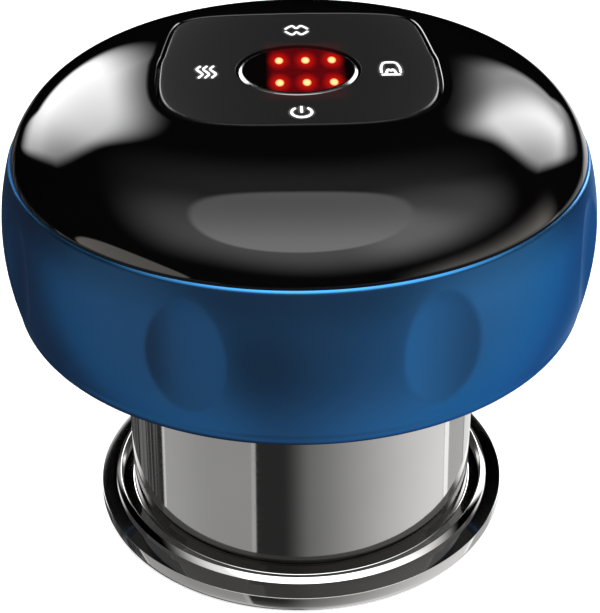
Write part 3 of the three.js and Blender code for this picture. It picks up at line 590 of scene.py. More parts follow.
def board_green():
    """Solder mask with faint copper tracks under it."""
    slant, waves_per_metre, strength = 0.35, 3800.0, 0.6
    look = Surface("board_green")
    x, y = look.split(look.where)[:2]
    wave = look.math("SINE", look.product(look.total(x, look.product(y, slant)), waves_per_metre))
    tracks = look.product(look.step(wave, 0.72, 0.86), strength)
    cloud = look.grain(300.0)
    mask = look.mix(cloud, (0.006, 0.055, 0.022), (0.010, 0.075, 0.032))
    look.tint(tracks, mask, (0.03, 0.16, 0.06))
    look.rough(cloud, 0.3, 0.42)
    return look.material


def heater_film():
    """Amber film with an etched heating track in rings."""
    waves_per_metre = 5200.0
    look = Surface("heater_film")
    x, y = look.split(look.where)[:2]
    wave = look.math("SINE", look.product(look.length(x, y), waves_per_metre))
    look.tint(look.step(wave, 0.1, 0.3), (0.30, 0.10, 0.015), (0.55, 0.24, 0.08))
    look.set("Roughness", look.step(wave, 0.1, 0.3, 0.28, 0.42))
    return look.material


def indicator_light():
    """Red lamp that glows."""
    look = Surface("indicator_light")
    fine = look.grain(900.0)
    look.finish(fine, (0.75, 0.10, 0.06), (0.85, 0.2, 0.12), 0.2, 0.35)
    look.glow((1.0, 0.06, 0.02), look.waver(fine, 1.2, 1.8))
    return look.material


def pale_floor():
    look = Surface("floor")
    look.tint(look.grain(4.0), (0.93, 0.93, 0.93), (0.95, 0.95, 0.95))
    look.set("Roughness", 0.9)
    look.set("Specular IOR Level", 0.0)
    look.glow(WHITE, 0.45)
    return look.material


MATERIALS = {
    "gloss_black": gloss_black(),
    "charcoal": panel_charcoal(),
    "panel_edge": panel_edge(),
    "smoked_lens": smoked_lens(),
    "lens_edge": lens_edge(),
    "pearl_blue": pearl_blue(),
    "polished_blue": polished_blue(),
    "black_plastic": plastic("black_plastic", (0.016, 0.016, 0.017), 0.42),
    "plated": dark_chrome(),
    "seal_rubber": plastic("seal_rubber", (0.02, 0.02, 0.02), 0.7, grain=900.0, depth=0.05),
    "clear_lens": clear_window(),
    "board_green": board_green(),
    "heater_film": heater_film(),
    "indicator": indicator_light(),
    "white_plastic": plastic("white_plastic", (0.72, 0.72, 0.70), 0.4),
    "steel": brushed_metal("steel", (0.62, 0.62, 0.63), 0.24),
    "frame_grey": plastic("frame_grey", (0.10, 0.105, 0.11), 0.5),
    "cell_wrap": plastic("cell_wrap", (0.02, 0.16, 0.36), 0.35, coat=0.5),
    "motor_can": brushed_metal("motor_can", (0.66, 0.66, 0.67), 0.3),
    "brass": brushed_metal("brass", (0.72, 0.50, 0.18), 0.28),
    "silicone": silicone(),
    "icon_white": icon_white(),
    "icon_shadow": plastic("icon_shadow", (0.002, 0.002, 0.0022), 0.5),
    "floor": pale_floor(),
}


def dress_nodes():
    """Frame nodes that stay take the material of their record slot."""
    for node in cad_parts.values():
        for holder in node.material_slots:
            name = holder.material.name.split(".")[0] if holder.material else "black_plastic"
            if name not in MATERIALS:
                raise ValueError(f"no material for slot {name}")
            holder.material = MATERIALS[name]


dress_nodes()


# Dome, panel and display
def dome_height(radius):
    share = np.clip(radius / DOME_RADIUS, 0, 1)
    return DOME_BASE + (DOME_TOP - DOME_BASE) * (1 - share ** DOME_PLAN_SHARE) ** (1 / DOME_RISE_SHARE)


def on_dome(xy, drop=0.0):
    return ring(xy, dome_height(np.hypot(xy[:, 0], xy[:, 1])) - drop)


def recess(grow=0.0):
    return squircle(RECESS_HALF_WIDTH + grow, RECESS_HALF_DEPTH + grow, PANEL_CENTRE_Y)


def make_dome():
    """Cover with a recess for the overlay, an opening for the display and a skirt below its rim."""
    floor = lens_low[2] - SLIDE_GAP
    under = floor - FLOOR_WALL
    hole = circle(DISPLAY_RADIUS - LENS_LEDGE)
    rings = [ring(hole, under), ring(hole, floor), ring(recess(), floor)]
    for angle in quarter_turn(ROUND_STEPS):
        grow = RECESS_ROUND * (1 - math.cos(angle))
        rings.append(on_dome(recess(grow), RECESS_ROUND * (1 - math.sin(angle))))
    start, rim = recess(RECESS_ROUND), circle(DOME_RADIUS)
    first = math.acos(CROWN_SHARE ** (DOME_PLAN_SHARE / 2))
    for angle in np.linspace(first, 0, DOME_STEPS)[1:]:
        reach = (math.cos(angle) ** (2 / DOME_PLAN_SHARE) - CROWN_SHARE) / (1 - CROWN_SHARE)
        rings.append(on_dome(start + (rim - start) * reach))
    skirt_bore = SKIRT_RADIUS - SKIRT_WALL
    inside = ((SKIRT_RADIUS, DOME_BASE), (SKIRT_RADIUS, SKIRT_BOTTOM), (skirt_bore, SKIRT_BOTTOM),
              (skirt_bore, DOME_BASE + SKIRT_WALL), (DOME_RADIUS - HAUNCH_INSET, DOME_BASE + HAUNCH_RISE),
              (DOME_RADIUS - FLOOR_INSET, under))
    rings += [ring(circle(radius), height) for radius, height in inside]
    place(skin("dome_cover", rings, ["gloss_black"], looped=True), "housing", "gloss_black", "top_cover")


def make_panel():
    """Overlay that follows the dome, with a rounded rim outside and a fine one at the display."""
    rings = [ring(circle(DISPLAY_RADIUS), panel_low[2]), ring(recess(-PANEL_GAP), panel_low[2])]
    for angle in quarter_turn(ROUND_STEPS):
        grow = -PANEL_GAP - PANEL_ROUND * (1 - math.cos(angle))
        rings.append(on_dome(recess(grow), PANEL_ROUND * (1 - math.sin(angle))))
    start = recess(-PANEL_GAP - PANEL_ROUND)
    hole = circle(DISPLAY_RADIUS + DISPLAY_ROUND)
    for share in np.linspace(0, 1, FACE_STEPS + 1)[1:]:
        rings.append(on_dome(start + (hole - start) * share))
    top = float(dome_height(DISPLAY_RADIUS))
    for angle in np.radians(np.linspace(90, 180, 9))[1:]:
        radius = DISPLAY_RADIUS + DISPLAY_ROUND * (1 + math.cos(angle))
        rings.append(ring(circle(radius), top - DISPLAY_ROUND * (1 - math.sin(angle))))
    slots = [0] + [1] * ROUND_STEPS + [0] * (len(rings) - ROUND_STEPS - 1)
    piece = skin("control_overlay", rings, ["charcoal", "panel_edge"], True, slots)
    place(piece, "housing", "charcoal", "control_panel")


def make_lens():
    """Display window, level with the panel, with a polished rounded edge."""
    radius, low = lens_high[0], lens_low[2]
    high = float(dome_height(0)) - LENS_DROP
    outline = [(radius, low)]
    for angle in quarter_turn(LENS_EDGE_STEPS):
        outline.append((radius - LENS_EDGE_WIDTH * (1 - math.cos(angle)),
                        high - LENS_EDGE_DROP * (1 - math.sin(angle))))
    outline.append((LENS_MIDDLE, high))
    slots = [1] * LENS_EDGE_STEPS + [0, 0]
    piece = lathe("display_glass", outline, ["smoked_lens", "lens_edge"], looped=False, slots=slots)
    place(piece, "housing", "smoked_lens", "display_lens")


# Icons printed on the panel, as flat strokes with round ends
PEN = np.array([0.23, 0.40])
PRINT_HEIGHT = 0.05
EDGE_GROWTH = 0.30
EDGE_HEIGHT = 0.02
STROKE_SIDES = 12
END_ANGLES = np.radians([8, 30, 55, 75])
ICON_SHIFT = 0.1


def smooth_path(points, steps=10):
    """A smooth curve through given points."""
    points = [np.array(p, float) for p in points]
    padded = [2 * points[0] - points[1], *points, 2 * points[-1] - points[-2]]
    path = []
    for a, b, c, d in zip(padded, padded[1:], padded[2:], padded[3:]):
        for i in range(steps):
            t = i / steps
            path.append(0.5 * (2 * b + (c - a) * t + (2 * a - 5 * b + 4 * c - d) * t * t
                               + (3 * b - a - 3 * c + d) * t ** 3))
    path.append(points[-1])
    return path


def power_icon():
    """An open ring with a bar in its gap."""
    half_gap, half_width, half_depth = 42, 1.5, 1.7
    angles = np.radians(np.linspace(90 + half_gap, 450 - half_gap, 28))
    open_ring = [(ICON_SHIFT + half_width * math.cos(a), ICON_SHIFT + half_depth * math.sin(a))
                 for a in angles]
    return [open_ring, smooth_path([(ICON_SHIFT, 0.2), (ICON_SHIFT, 1.0), (ICON_SHIFT, 1.9)])]


def heat_icon():
    """Three rising waves."""
    wave = [(0.0, 1.55), (-0.42, 0.45), (0.45, -1.35), (-0.02, -2.65)]
    return [smooth_path([(x + offset, y) for x, y in wave]) for offset in (-1.02, 0.0, 1.05)]


def cup_icon():
    """A cup on a base line, with a fold of skin drawn up in it."""
    arch = [(-1.5, -1.7), (-1.42, 0.2), (-0.95, 1.85), (0.0, 2.1), (0.95, 1.85), (1.42, 0.2), (1.5, -1.7)]
    base = [(-1.35, -2.65), (0.0, -2.65), (1.3, -2.65)]
    fold = [(-0.85, -2.3), (-0.40, -0.75), (0.0, -1.15), (0.40, -0.75), (0.8, -2.3)]
    return [smooth_path(line) for line in (arch, base, fold)]


def link_icon():
    """Two waved lines that almost close."""
    upper = [(-1.75, 0.65), (-1.2, 1.5), (-0.65, 1.85), (0.0, 0.85), (0.65, 1.85), (1.2, 1.5), (1.75, 0.65)]
    return [smooth_path([(ICON_SHIFT + x, side * y + ICON_SHIFT) for x, y in upper]) for side in (1, -1)]


def sweep_stroke(path, growth, half_height):
    """Rings of a flat stroke that follows a path over the panel, drawn in to round ends."""
    tangents = np.gradient(path, axis=0)
    tangents /= np.linalg.norm(tangents, axis=1)[:, None]
    pen = PEN + growth
    first, last = tangents[0], tangents[-1]
    stations = [(path[0] - first * pen * math.cos(a), first, math.sin(a)) for a in END_ANGLES]
    stations += [(p, t, 1.0) for p, t in zip(path, tangents)]
    stations += [(path[-1] + last * pen * math.cos(a), last, math.sin(a)) for a in END_ANGLES[::-1]]
    angles = turn(STROKE_SIDES)
    rings = []
    for middle, tangent, width in stations:
        side = np.array([-tangent[1], tangent[0]]) * pen
        xy = middle + np.outer(np.cos(angles), side) * width
        rings.append(on_dome(xy, -half_height * width * np.sin(angles)))
    return rings


def make_icon(name, strokes, key):
    """Two prints of the same strokes over a key: the white icon and a wider dark edge below it."""
    for kind, growth, height, material, slot in (
            ("print", 0.0, PRINT_HEIGHT, "icon_white", "white_plastic"),
            ("edge", EDGE_GROWTH, EDGE_HEIGHT, "icon_shadow", "charcoal")):
        rings, faces = [], []
        for stroke in strokes:
            swept = sweep_stroke(np.array(stroke) + plan_middle(key), growth, height)
            faces += weave(swept, offset=len(rings) * STROKE_SIDES)
            rings += swept
        piece = make_object(f"icon_{name}_{kind}", np.concatenate(rings), faces, [material])
        place(piece, "housing", slot)


# Grip shell
def shell_side(height):
    """Radius of the shell's side: a bow through its foot, its widest ring and its top."""
    share = (height - SIDE_BOTTOM) / (SIDE_TOP - SIDE_BOTTOM)
    chord = FOOT_RADIUS + (SEAM_RADIUS - FOOT_RADIUS) * share
    wide_chord = FOOT_RADIUS + (SEAM_RADIUS - FOOT_RADIUS) * WIDE_SHARE
    bow = (SHELL_RADIUS - wide_chord) / (WIDE_SHARE * (1 - WIDE_SHARE))
    return chord + bow * share * (1 - share)


def dimple_depth(angle, height):
    """Depth of the oval hollows round the side, with softened borders."""
    spacing = 2 * math.pi / DIMPLES
    off = ((angle - DIMPLE_TURN) / spacing) % 1.0 - 0.5
    across = off * spacing * SHELL_RADIUS / DIMPLE_HALF_WIDTH
    along = (height - DIMPLE_HEIGHT) / DIMPLE_HALF_HEIGHT
    hollow = 1 - across ** 2 - along ** 2
    return DIMPLE_DEPTH * (hollow + np.sqrt(hollow ** 2 + DIMPLE_SOFTNESS ** 2)) / 2


def make_shell():
    """Dimpled ring with a polished chamfer, a lip below and an opening for the socket."""
    corner = SIDE_BOTTOM - shell_low[2]
    inner = SEAM_RADIUS - SHELL_WALL
    lip_bottom = base_high[2] + JOIN_GAP
    lip_top, lip_radius = lip_bottom + LIP_WALL, FOOT_RADIUS - LIP_INSET
    angle = turn(SHELL_SEGMENTS)
    profile = arc(FOOT_RADIUS - corner, SIDE_BOTTOM, corner, -90, 0, 12)[:-1]
    for height in np.linspace(SIDE_BOTTOM, SIDE_TOP, SIDE_STEPS):
        profile.append((shell_side(height) - dimple_depth(angle, height), height))
    chamfer_start = len(profile) - 1
    profile += [
        (SEAM_RADIUS - CHAMFER, shell_high[2]), (inner, shell_high[2]),
        (SHELL_RADIUS - SHELL_WALL - BELLY_THINNING, (SIDE_BOTTOM + SIDE_TOP) / 2),
        (inner, lip_top), (lip_radius, lip_top), (lip_radius, lip_bottom),
        (FOOT_RADIUS - corner, lip_bottom),
    ]
    rings = [ring(circle(radius, SHELL_SEGMENTS), height) for radius, height in profile]
    slots = [int(band == chamfer_start) for band in range(len(rings))]
    piece = skin("grip_ring", rings, ["pearl_blue", "polished_blue"], True, slots)
    beyond = 2.0
    ends = [stadium_ring(JOIN_GAP, y) for y in (socket_low[1], SHELL_RADIUS + beyond)]
    cut(piece, skin("socket_cutter", ends, ["pearl_blue"]))
    place(piece, "housing", "pearl_blue", "grip_shell")


# Charging socket
def stadium_ring(grow, y):
    """Outline of the socket across X and Z at one depth, grown by a margin."""
    half_width = (socket_high[0] - socket_low[0]) / 2 + grow
    half_height = (socket_high[2] - socket_low[2]) / 2 + grow
    angles = turn(SOCKET_SEGMENTS) - math.pi / 2 + math.pi / SOCKET_SEGMENTS
    x = half_height * np.cos(angles) + (half_width - half_height) * np.sign(np.cos(angles))
    z = SOCKET_MIDDLE + half_height * np.sin(angles)
    return np.column_stack([x, np.full(SOCKET_SEGMENTS, float(y)), z])


def make_socket():
    """Metal shell of the socket, open to the rear."""
    wall, edge, floor = 0.3, 0.08, 0.8
    rear, mouth = socket_low[1], socket_high[1]
    profile = [(0, rear), (0, mouth - edge), (-edge, mouth), (-wall + edge, mouth), (-wall, mouth - edge),
               (-wall, rear + floor)]
    piece = skin("socket_shell", [stadium_ring(grow, y) for grow, y in profile], ["steel"])
    place(piece, "housing", "steel", "charge_socket")


def make_tongue():
    """Contact tongue inside the socket: a block with bevelled edges."""
    width, length, thickness, bevel, setback = 6.7, 5.0, 0.7, 0.12, 0.9
    start = socket_low[1] + setback
    tongue = bmesh.new()
    bmesh.ops.create_cube(tongue, size=1.0)
    for vertex in tongue.verts:
        vertex.co.x *= width * MM
        vertex.co.y = (start + (vertex.co.y + 0.5) * length) * MM
        vertex.co.z = (SOCKET_MIDDLE + vertex.co.z * thickness) * MM
    bmesh.ops.bevel(tongue, geom=tongue.edges[:], offset=bevel * MM, segments=2, affect="EDGES")
    mesh = bpy.data.meshes.new("socket_tongue")
    tongue.to_mesh(mesh)
    tongue.free()
    mesh.materials.append(MATERIALS["black_plastic"])
    place(show("socket_tongue", mesh), "housing", "black_plastic")


# Base cover, its screws, and the ceiling of the cup
def make_base():
    """Base plate with a spigot that holds the seal, a well inside, and pockets round the screws."""
    edge, shoulder, window_ledge, window_rim = 0.35, 0.4, 2.8, 1.9
    bottom, spigot_bottom, radius = shell_low[2], base_low[2], base_high[0]
    spigot, groove = seal_high[0] - 0.5, seal_high[0] - 2.3
    well = spigot - 2.4
    groove_half = SEAL_SECTION + SLIDE_GAP
    groove_low, groove_high = SEAL_MIDDLE - groove_half, SEAL_MIDDLE + groove_half
    window, ledge = window_high[0] + JOIN_GAP, window_high[0] - window_ledge
    ledge_top, rim_top = window_low[2] - JOIN_GAP, window_high[2] + window_rim
    outline = [
        (ledge, spigot_bottom), (spigot - edge, spigot_bottom), (spigot, spigot_bottom + edge),
        (spigot, groove_low), (groove, groove_low), (groove, groove_high), (spigot, groove_high),
        (spigot, bottom + shoulder), (spigot + shoulder, bottom),
        (radius - edge, bottom), (radius, bottom + edge), (radius, base_high[2]), (well, base_high[2]),
        (well, rim_top), (window, rim_top), (window, ledge_top), (ledge, ledge_top),
    ]
    piece = lathe("base_plate", outline, ["black_plastic"])
    pocket, flare, below, depth = 2.7, 0.2, 1.0, 1.4
    outline = [(pocket + flare, bottom - below), (pocket, bottom), (pocket, bottom + depth)]
    for index in range(4):
        cut(piece, lathe("pocket", outline, ["black_plastic"], looped=False, count=SMALL_SEGMENTS,
                         centre=plan_middle(f"base_screw_{index + 1}")))
    place(piece, "housing", "black_plastic", "base_cover")


def cup_neck():
    """Radius of the cup's neck, read from the frame mesh above the flange."""
    points = np.array([v.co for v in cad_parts["cup"].data.vertices]) / MM
    upper = points[points[:, 2] > cup_high[2] / 2]
    return float(np.hypot(upper[:, 0], upper[:, 1]).max())


def make_cup():
    """Plated cup: a straight neck, a groove and a sloping ridge, and a flat rim with a round edge."""
    neck, rim, top = cup_neck(), cup_high[0], cup_high[2]
    rim_top, rim_corner, rim_round = 3.3, 0.09, 1.5
    step, step_top, step_foot, fine = rim - 2.7, rim_top + 0.8, 0.1, 0.05
    ridge, ridge_top = step - 0.95, step_top + 0.87
    crest, crest_shift, crest_drop = 0.15, 0.12, 0.31
    groove, groove_floor, groove_round = ridge - 0.2, ridge_top - 1.75, 0.3
    bore, bore_foot, mouth, mouth_round, lip = neck - 2.3, 7.0, rim - 5.6, 1.3, 0.3
    neck_foot = arc(groove_round, groove_floor + groove_round, groove_round, -90, 0, 5)
    outline = [
        *arc(rim - rim_round, rim_round, rim_round, -90, 0, 12),
        *arc(rim - rim_corner, rim_top - rim_corner, rim_corner, 0, 90, 6),
        (step + step_foot, rim_top), (step, step_top - fine), (step - fine, step_top),
        *arc(ridge + crest_shift, ridge_top - crest_drop, crest, 47, 173, 8), (groove, groove_floor),
        *[(neck - x + 2 * groove_round, y) for x, y in neck_foot],
        (neck, top - lip), (neck - lip, top), (bore + lip, top), (bore, top - lip), (bore, bore_foot),
        *arc(mouth, mouth_round, mouth_round, 180, 270, 10),
    ]
    place(lathe("suction_cup", outline, ["plated"]), "cup", "plated", "cup")


def make_seal():
    outline = arc(seal_high[0] - SEAL_SECTION, SEAL_MIDDLE, SEAL_SECTION, 0, 360, 24)[:-1]
    place(lathe("seal_ring", outline, ["seal_rubber"]), "housing", "seal_rubber", "cup_seal")


def make_window():
    """Clear disc with a hole for the air port."""
    edge, hole = 0.2, 3.0
    low, high, radius = window_low[2], window_high[2], window_high[0]
    outline = [(hole, low), (radius - edge, low), (radius, low + edge), (radius, high), (hole, high)]
    place(lathe("window_disc", outline, ["clear_lens"]), "housing", "clear_lens", "light_window")


def make_port():
    """Air port: a flange that holds the filter, a stem and a barb."""
    flange_edge, seat_edge = 0.4, 0.15
    stem_top, barb, airway, stem = 46.6, 1.1, 0.55, 2.7
    flange, flange_bottom, flange_top = port_high[0], port_low[2], window_low[2] - SLIDE_GAP
    seat, seat_radius = filter_high[2] + SLIDE_GAP, filter_high[0] + SLIDE_GAP
    outline = [
        (seat_radius, flange_bottom + seat_edge), (seat_radius + seat_edge, flange_bottom),
        *arc(flange - flange_edge, flange_bottom + flange_edge, flange_edge, -90, 0, 5),
        (flange, flange_top), (stem, flange_top), (stem, stem_top), (barb, stem_top), (barb, port_high[2]),
        (airway, port_high[2]), (airway, seat), (seat_radius, seat),
    ]
    piece = lathe("port_body", outline, ["white_plastic"], count=SMALL_SEGMENTS)
    place(piece, "housing", "white_plastic", "port_nipple")


def make_filter():
    """Filter disc with a pattern of small vents."""
    edge, vent_radius, vent_start, vent_end = 0.15, 0.4, 0.2, 0.4
    radius, low, high = filter_high[0], filter_low[2], filter_high[2]
    outline = [(radius - edge, low), (radius, low + edge), (radius, high)]
    piece = lathe("filter_disc", outline, ["black_plastic"], looped=False, count=SMALL_SEGMENTS)
    drill = [(vent_radius, low - vent_start), (vent_radius, low + vent_end)]
    for count, reach in ((1, 0.0), (6, 1.35), (12, 2.7)):
        for angle in turn(count):
            cut(piece, lathe("vent", drill, ["black_plastic"], looped=False, count=VENT_SEGMENTS,
                             centre=(reach * math.cos(angle), reach * math.sin(angle))))
    place(piece, "housing", "white_plastic", "suction_filter")


make_dome()
make_panel()
make_lens()
for icon, strokes, key in (("power", power_icon(), "key_power"), ("heat", heat_icon(), "key_heat"),
                           ("cup", cup_icon(), "key_suction"), ("link", link_icon(), "key_scrape")):
    make_icon(icon, strokes, key)
make_shell()
make_socket()
make_tongue()
make_base()
make_cup()
make_seal()
make_window()
make_port()
make_filter()


# Floor, camera and light
CAMERA_DISTANCE = 0.2660
CAMERA_HEIGHT = 0.03667
CAMERA_ELEVATION = math.radians(31.71)
CAMERA_AZIMUTH = math.radians(-1.29)
CAMERA_ROLL = math.radians(-0.41)
CAMERA_NEAR = 0.01
FOCAL_PIXELS = 1566.8
PHOTO_HEIGHT = 613
SENSOR = 24.0
FLOOR_RADIUS = 1500.0
FLOOR_THICKNESS = 6.0


def make_camera():
    data = bpy.data.cameras.new("camera")
    data.sensor_fit = "VERTICAL"
    data.sensor_height = SENSOR
    data.lens = FOCAL_PIXELS / PHOTO_HEIGHT * SENSOR
    data.clip_start = CAMERA_NEAR
    camera = show("camera", data)
    out = Vector((math.sin(CAMERA_AZIMUTH) * math.cos(CAMERA_ELEVATION),
                  -math.cos(CAMERA_AZIMUTH) * math.cos(CAMERA_ELEVATION), math.sin(CAMERA_ELEVATION)))
    target = Vector((0, 0, CAMERA_HEIGHT))
    turned = (-out).to_track_quat("-Z", "Y").to_matrix().to_4x4() @ Matrix.Rotation(CAMERA_ROLL, 4, "Z")
    camera.matrix_world = Matrix.Translation(target + out * CAMERA_DISTANCE) @ turned
    bpy.context.scene.camera = camera


def make_floor():
    outline = [(FLOOR_RADIUS, -FLOOR_THICKNESS), (FLOOR_RADIUS, 0.0)]
    floor = lathe("floor", outline, ["floor"], looped=False, count=SMALL_SEGMENTS)
    floor.visible_glossy = False


class Sky(Nodes):
    """World nodes that know each direction in degrees: its azimuth from the front towards the right, its
    elevation, and how far it lies to either side."""

    def __init__(self, world):
        super().__init__(world.node_tree)
        self.direction = self.add("ShaderNodeTexCoord").outputs["Generated"]
        self.x, self.y, self.z = self.split(self.direction)
        degrees = 180 / math.pi
        self.azimuth = self.product(self.math("ARCTAN2", self.x, self.product(self.y, -1.0)), degrees)
        self.elevation = self.product(self.math("ARCSINE", self.z), degrees)
        self.side = self.math("ABSOLUTE", self.azimuth)

    def along(self, start, end, first=0.0, last=1.0):
        """A change with azimuth."""
        return self.step(self.azimuth, start, end, first, last)

    def up(self, start, end, first=0.0, last=1.0):
        """A change with elevation."""
        return self.step(self.elevation, start, end, first, last)

    def by_side(self, left, right):
        """One value on the left and another on the right."""
        return self.along(-20.0, 20.0, left, right)

    def card(self, start, end, soft, strength):
        """An upright card between two azimuths, with soft edges."""
        return self.product(self.band(self.azimuth, start, end, soft), strength)


def softbox_light(sky):
    """Softboxes at the back left and back right: round, drawn out to a point below, and cut off low down
    towards the rear."""
    middles, half_widths, strengths, dimmed = (148.0, 142.0), (26.0, 28.0), (6.6, 8.0), (0.35, 0.5)
    foot, drawn_out, least_opening, pointed, flat_top = 9.0, 30.0, 0.6, 0.6, 21.0
    inner, outer, cut_start, cut_middle, cut_end = 0.72, 1.06, 148.0, 150.0, 151.0
    left_slope, right_slope = -0.4, -0.8
    opening = sky.ratio(sky.at_least(sky.total(sky.elevation, foot), least_opening), drawn_out)
    tip = sky.math("MINIMUM", sky.math("POWER", opening, pointed), 1.0)
    half_width, middle = sky.by_side(*half_widths), sky.by_side(*middles)
    off = sky.ratio(sky.minus(sky.side, middle), sky.product(half_width, tip))
    height = sky.step(sky.side, 140.0, 172.0, 17.8, 20.6)
    rise = sky.ratio(sky.at_least(sky.minus(sky.elevation, flat_top), 0.0), height)
    shape = sky.product(sky.step(sky.length(off, rise), inner, outer, 1.0, 0.0), sky.up(-8.0, 4.0))
    dim = sky.step(sky.minus(middle, sky.side), -6.0, 26.0, 1.0, sky.by_side(*dimmed))
    past = sky.minus(sky.side, cut_middle)
    left_cut = sky.total(sky.elevation, sky.product(past, left_slope), -2.0)
    right_cut = sky.total(sky.elevation, sky.product(past, right_slope), -5.0)
    back_cut = sky.total(left_cut, sky.product(sky.by_side(0.0, 1.0), sky.minus(right_cut, left_cut)))
    low_back = sky.step(sky.side, cut_start, cut_end, 1.0, sky.step(back_cut, -2.0, 3.0))
    return sky.product(shape, dim, low_back, sky.by_side(*strengths))


def overhead_light(sky):
    """Overhead panel, a round plate that is wider towards the front, and the glow round it, which is
    strongest at the front right."""
    lowest, shift, depth, full_width, taper, least_width = 0.02, 0.44, 0.73, 0.665, 0.15, 0.2
    front_light, rear_light, inner, outer = 3.8, 1.8, 0.94, 1.05
    glow_middle, bright_middle, soft = 8.0, 50.0, 15.0
    up = sky.at_least(sky.z, lowest)
    plan_x, plan_y = sky.ratio(sky.x, up), sky.ratio(sky.y, up)
    along = sky.product(sky.total(plan_y, shift), 1 / depth)
    width = sky.at_least(sky.minus(full_width, sky.product(along, taper)), least_width)
    reach = sky.length(sky.ratio(plan_x, width), along)
    inside = sky.product(sky.step(reach, inner, outer, 1.0, 0.0), sky.up(2.0, 8.0))
    plate = sky.product(inside, sky.step(plan_y, -1.0, 0.15, front_light, rear_light))
    around = sky.step(sky.apart(sky.azimuth, glow_middle), 30.0, 140.0, 1.55, 0.25)
    bright = sky.step(sky.apart(sky.azimuth, bright_middle), 5.0, 35.0, 1.2, 0.0)
    half_way = sky.total(sky.along(80.0, 125.0, 0.0, 28.0), sky.along(-120.0, -50.0, 22.0, 0.0),
                         sky.along(-40.0, 10.0, 31.0, 25.0))
    lift = sky.step(sky.minus(sky.elevation, half_way), -soft, soft)
    return plate, sky.product(lift, sky.total(around, bright), sky.rest(inside))


def tall_card_light(sky):
    """Upright cards below the horizon, which the neck mirrors: grey with two lighter lines on the left, a
    slope up to a line, a grey and a white card on the right, and streaks in the dark at the far left."""
    streak_light, base_light = 0.16, 0.03
    streaks = sky.noise(sky.scaled(sky.direction, (9.0, 9.0, 1.2)), 2.2)
    grey_left = sky.card(-103.0, -31.0, 1.2, sky.along(-100.0, -60.0, 0.44, 0.36))
    lines_left = sky.total(sky.card(-104.0, -102.0, 0.7, 0.35), sky.card(-33.0, -31.0, 0.7, 0.12))
    slope = sky.product(sky.along(-14.0, 6.0), sky.along(106.0, 109.0, 1.0, 0.0),
                        sky.along(-20.0, 112.0, 0.10, 0.95))
    line_right, grey_right = sky.card(108.0, 112.0, 0.8, 1.25), sky.card(112.5, 136.0, 0.8, 0.52)
    white_right = sky.product(sky.along(136.0, 139.0), sky.along(160.0, 176.0, 0.9, 0.1))
    dark_left = sky.product(sky.along(-108.0, -104.0, 1.0, 0.0), sky.step(streaks, 0.45, 0.65),
                            streak_light)
    return sky.total(grey_left, lines_left, slope, line_right, grey_right, white_right, dark_left,
                     base_light)


def strip_lights(sky):
    """Warm strips along the horizon: a low round one on the left, a long fading one on the right."""
    middle, half_width, depth, half_height, left_light, right_light = 66.0, 25, 8.0, 17.5, 1.75, 1.6
    left_x = sky.product(sky.total(sky.azimuth, middle), 1 / half_width)
    left_y = sky.product(sky.total(sky.elevation, depth), 1 / half_height)
    left_shape = sky.step(sky.length(left_x, left_y), 0.93, 1.03, 1.0, 0.0)
    left = sky.product(left_shape, sky.up(-15.0, -11.0), left_light)
    right = sky.product(sky.band(sky.azimuth, 58.0, 97.0, 28.0, 14.0), sky.up(-9.0, 14.0, 1.0, 0.0),
                        sky.up(-16.0, -11.0), right_light)
    return left, right


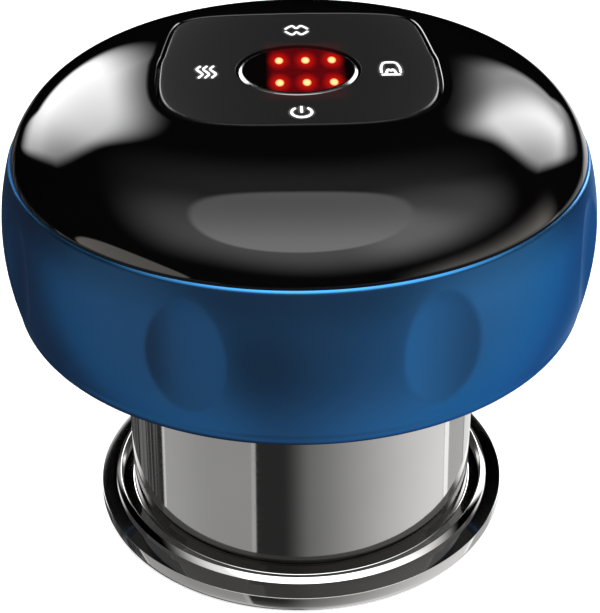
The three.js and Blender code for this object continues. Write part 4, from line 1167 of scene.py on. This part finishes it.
def studio_light(sky, rays):
    """Red, green and blue of the studio. A second reflection sees little of it. Satin faces see less of
    the strips than the lacquer does, and a low fill. Each sees its own part of the softboxes."""
    satin_left, satin_right, ground_light, warmth = 0.80, 0.3, 0.27, (1.0, 0.93, 0.85)
    again_cards, again_base, again_boxes = 0.12, 0.08, 0.25
    again = sky.math("GREATER_THAN", rays.outputs["Glossy Depth"], 1.5)
    once = sky.rest(again)
    lacquer = rays.outputs["Is Singular Ray"]
    satin = sky.rest(lacquer)
    softboxes, tall_cards = softbox_light(sky), tall_card_light(sky)
    plate, halo = overhead_light(sky)
    left, right = strip_lights(sky)
    warm = sky.product(once, sky.total(sky.product(left, sky.rest(sky.product(satin, satin_left))),
                                       sky.product(right, sky.rest(sky.product(satin, satin_right)))))
    held_back = sky.by_side(sky.up(2.0, 20.0, 0.9, 0.0), 0.1)
    faded_right = sky.at_least(sky.step(sky.minus(sky.side, sky.elevation), 122.0, 142.0, 0.0, 0.78),
                               sky.up(1.0, 13.0, 0.8, 0.0))
    faded = sky.by_side(sky.up(-2.0, 14.0, 0.45, 0.0), faded_right)
    unseen = sky.total(sky.product(satin, held_back), sky.product(lacquer, faded))
    boxes = sky.product(softboxes, sky.rest(unseen))
    ground = sky.product(sky.up(-38.0, -60.0), sky.band(sky.azimuth, -60.0, 60.0, 30.0), ground_light)
    cards = sky.total(sky.product(sky.up(-12.0, -17.0), tall_cards), ground)
    fill = sky.product(satin, sky.band(sky.elevation, -14.0, 4.0, 8.0), sky.along(-60.0, 60.0, 0.12, 0.2),
                       sky.step(sky.side, 60.0, 120.0, 1.0, 0.25))
    dim = sky.total(sky.product(tall_cards, again_cards), again_base,
                    sky.product(softboxes, sky.up(20.0, 30.0), again_boxes))
    bright = sky.total(boxes, plate, halo, cards, fill)
    cool = sky.total(sky.product(once, bright), sky.product(again, dim))
    return [sky.total(cool, sky.product(warm, share)) for share in warmth]


def make_world():
    """Studio for the reflections, and a white backdrop for the camera."""
    world = bpy.data.worlds.new("studio")
    world.use_nodes = True
    bpy.context.scene.world = world
    sky = Sky(world)
    rays = sky.add("ShaderNodeLightPath")
    blend = sky.add("ShaderNodeMixShader", {"Fac": rays.outputs["Is Camera Ray"]})
    studio = sky.blend_rgb(*studio_light(sky, rays))
    for socket, colour in zip(blend.inputs[1:], (studio, (*WHITE, 1.0))):
        sky.put(socket, sky.add("ShaderNodeBackground", {"Color": colour}).outputs[0])
    sky.add("ShaderNodeOutputWorld", {"Surface": blend.outputs[0]})


make_camera()
make_floor()
make_world()
bpy.context.scene.view_settings.view_transform = "Standard"
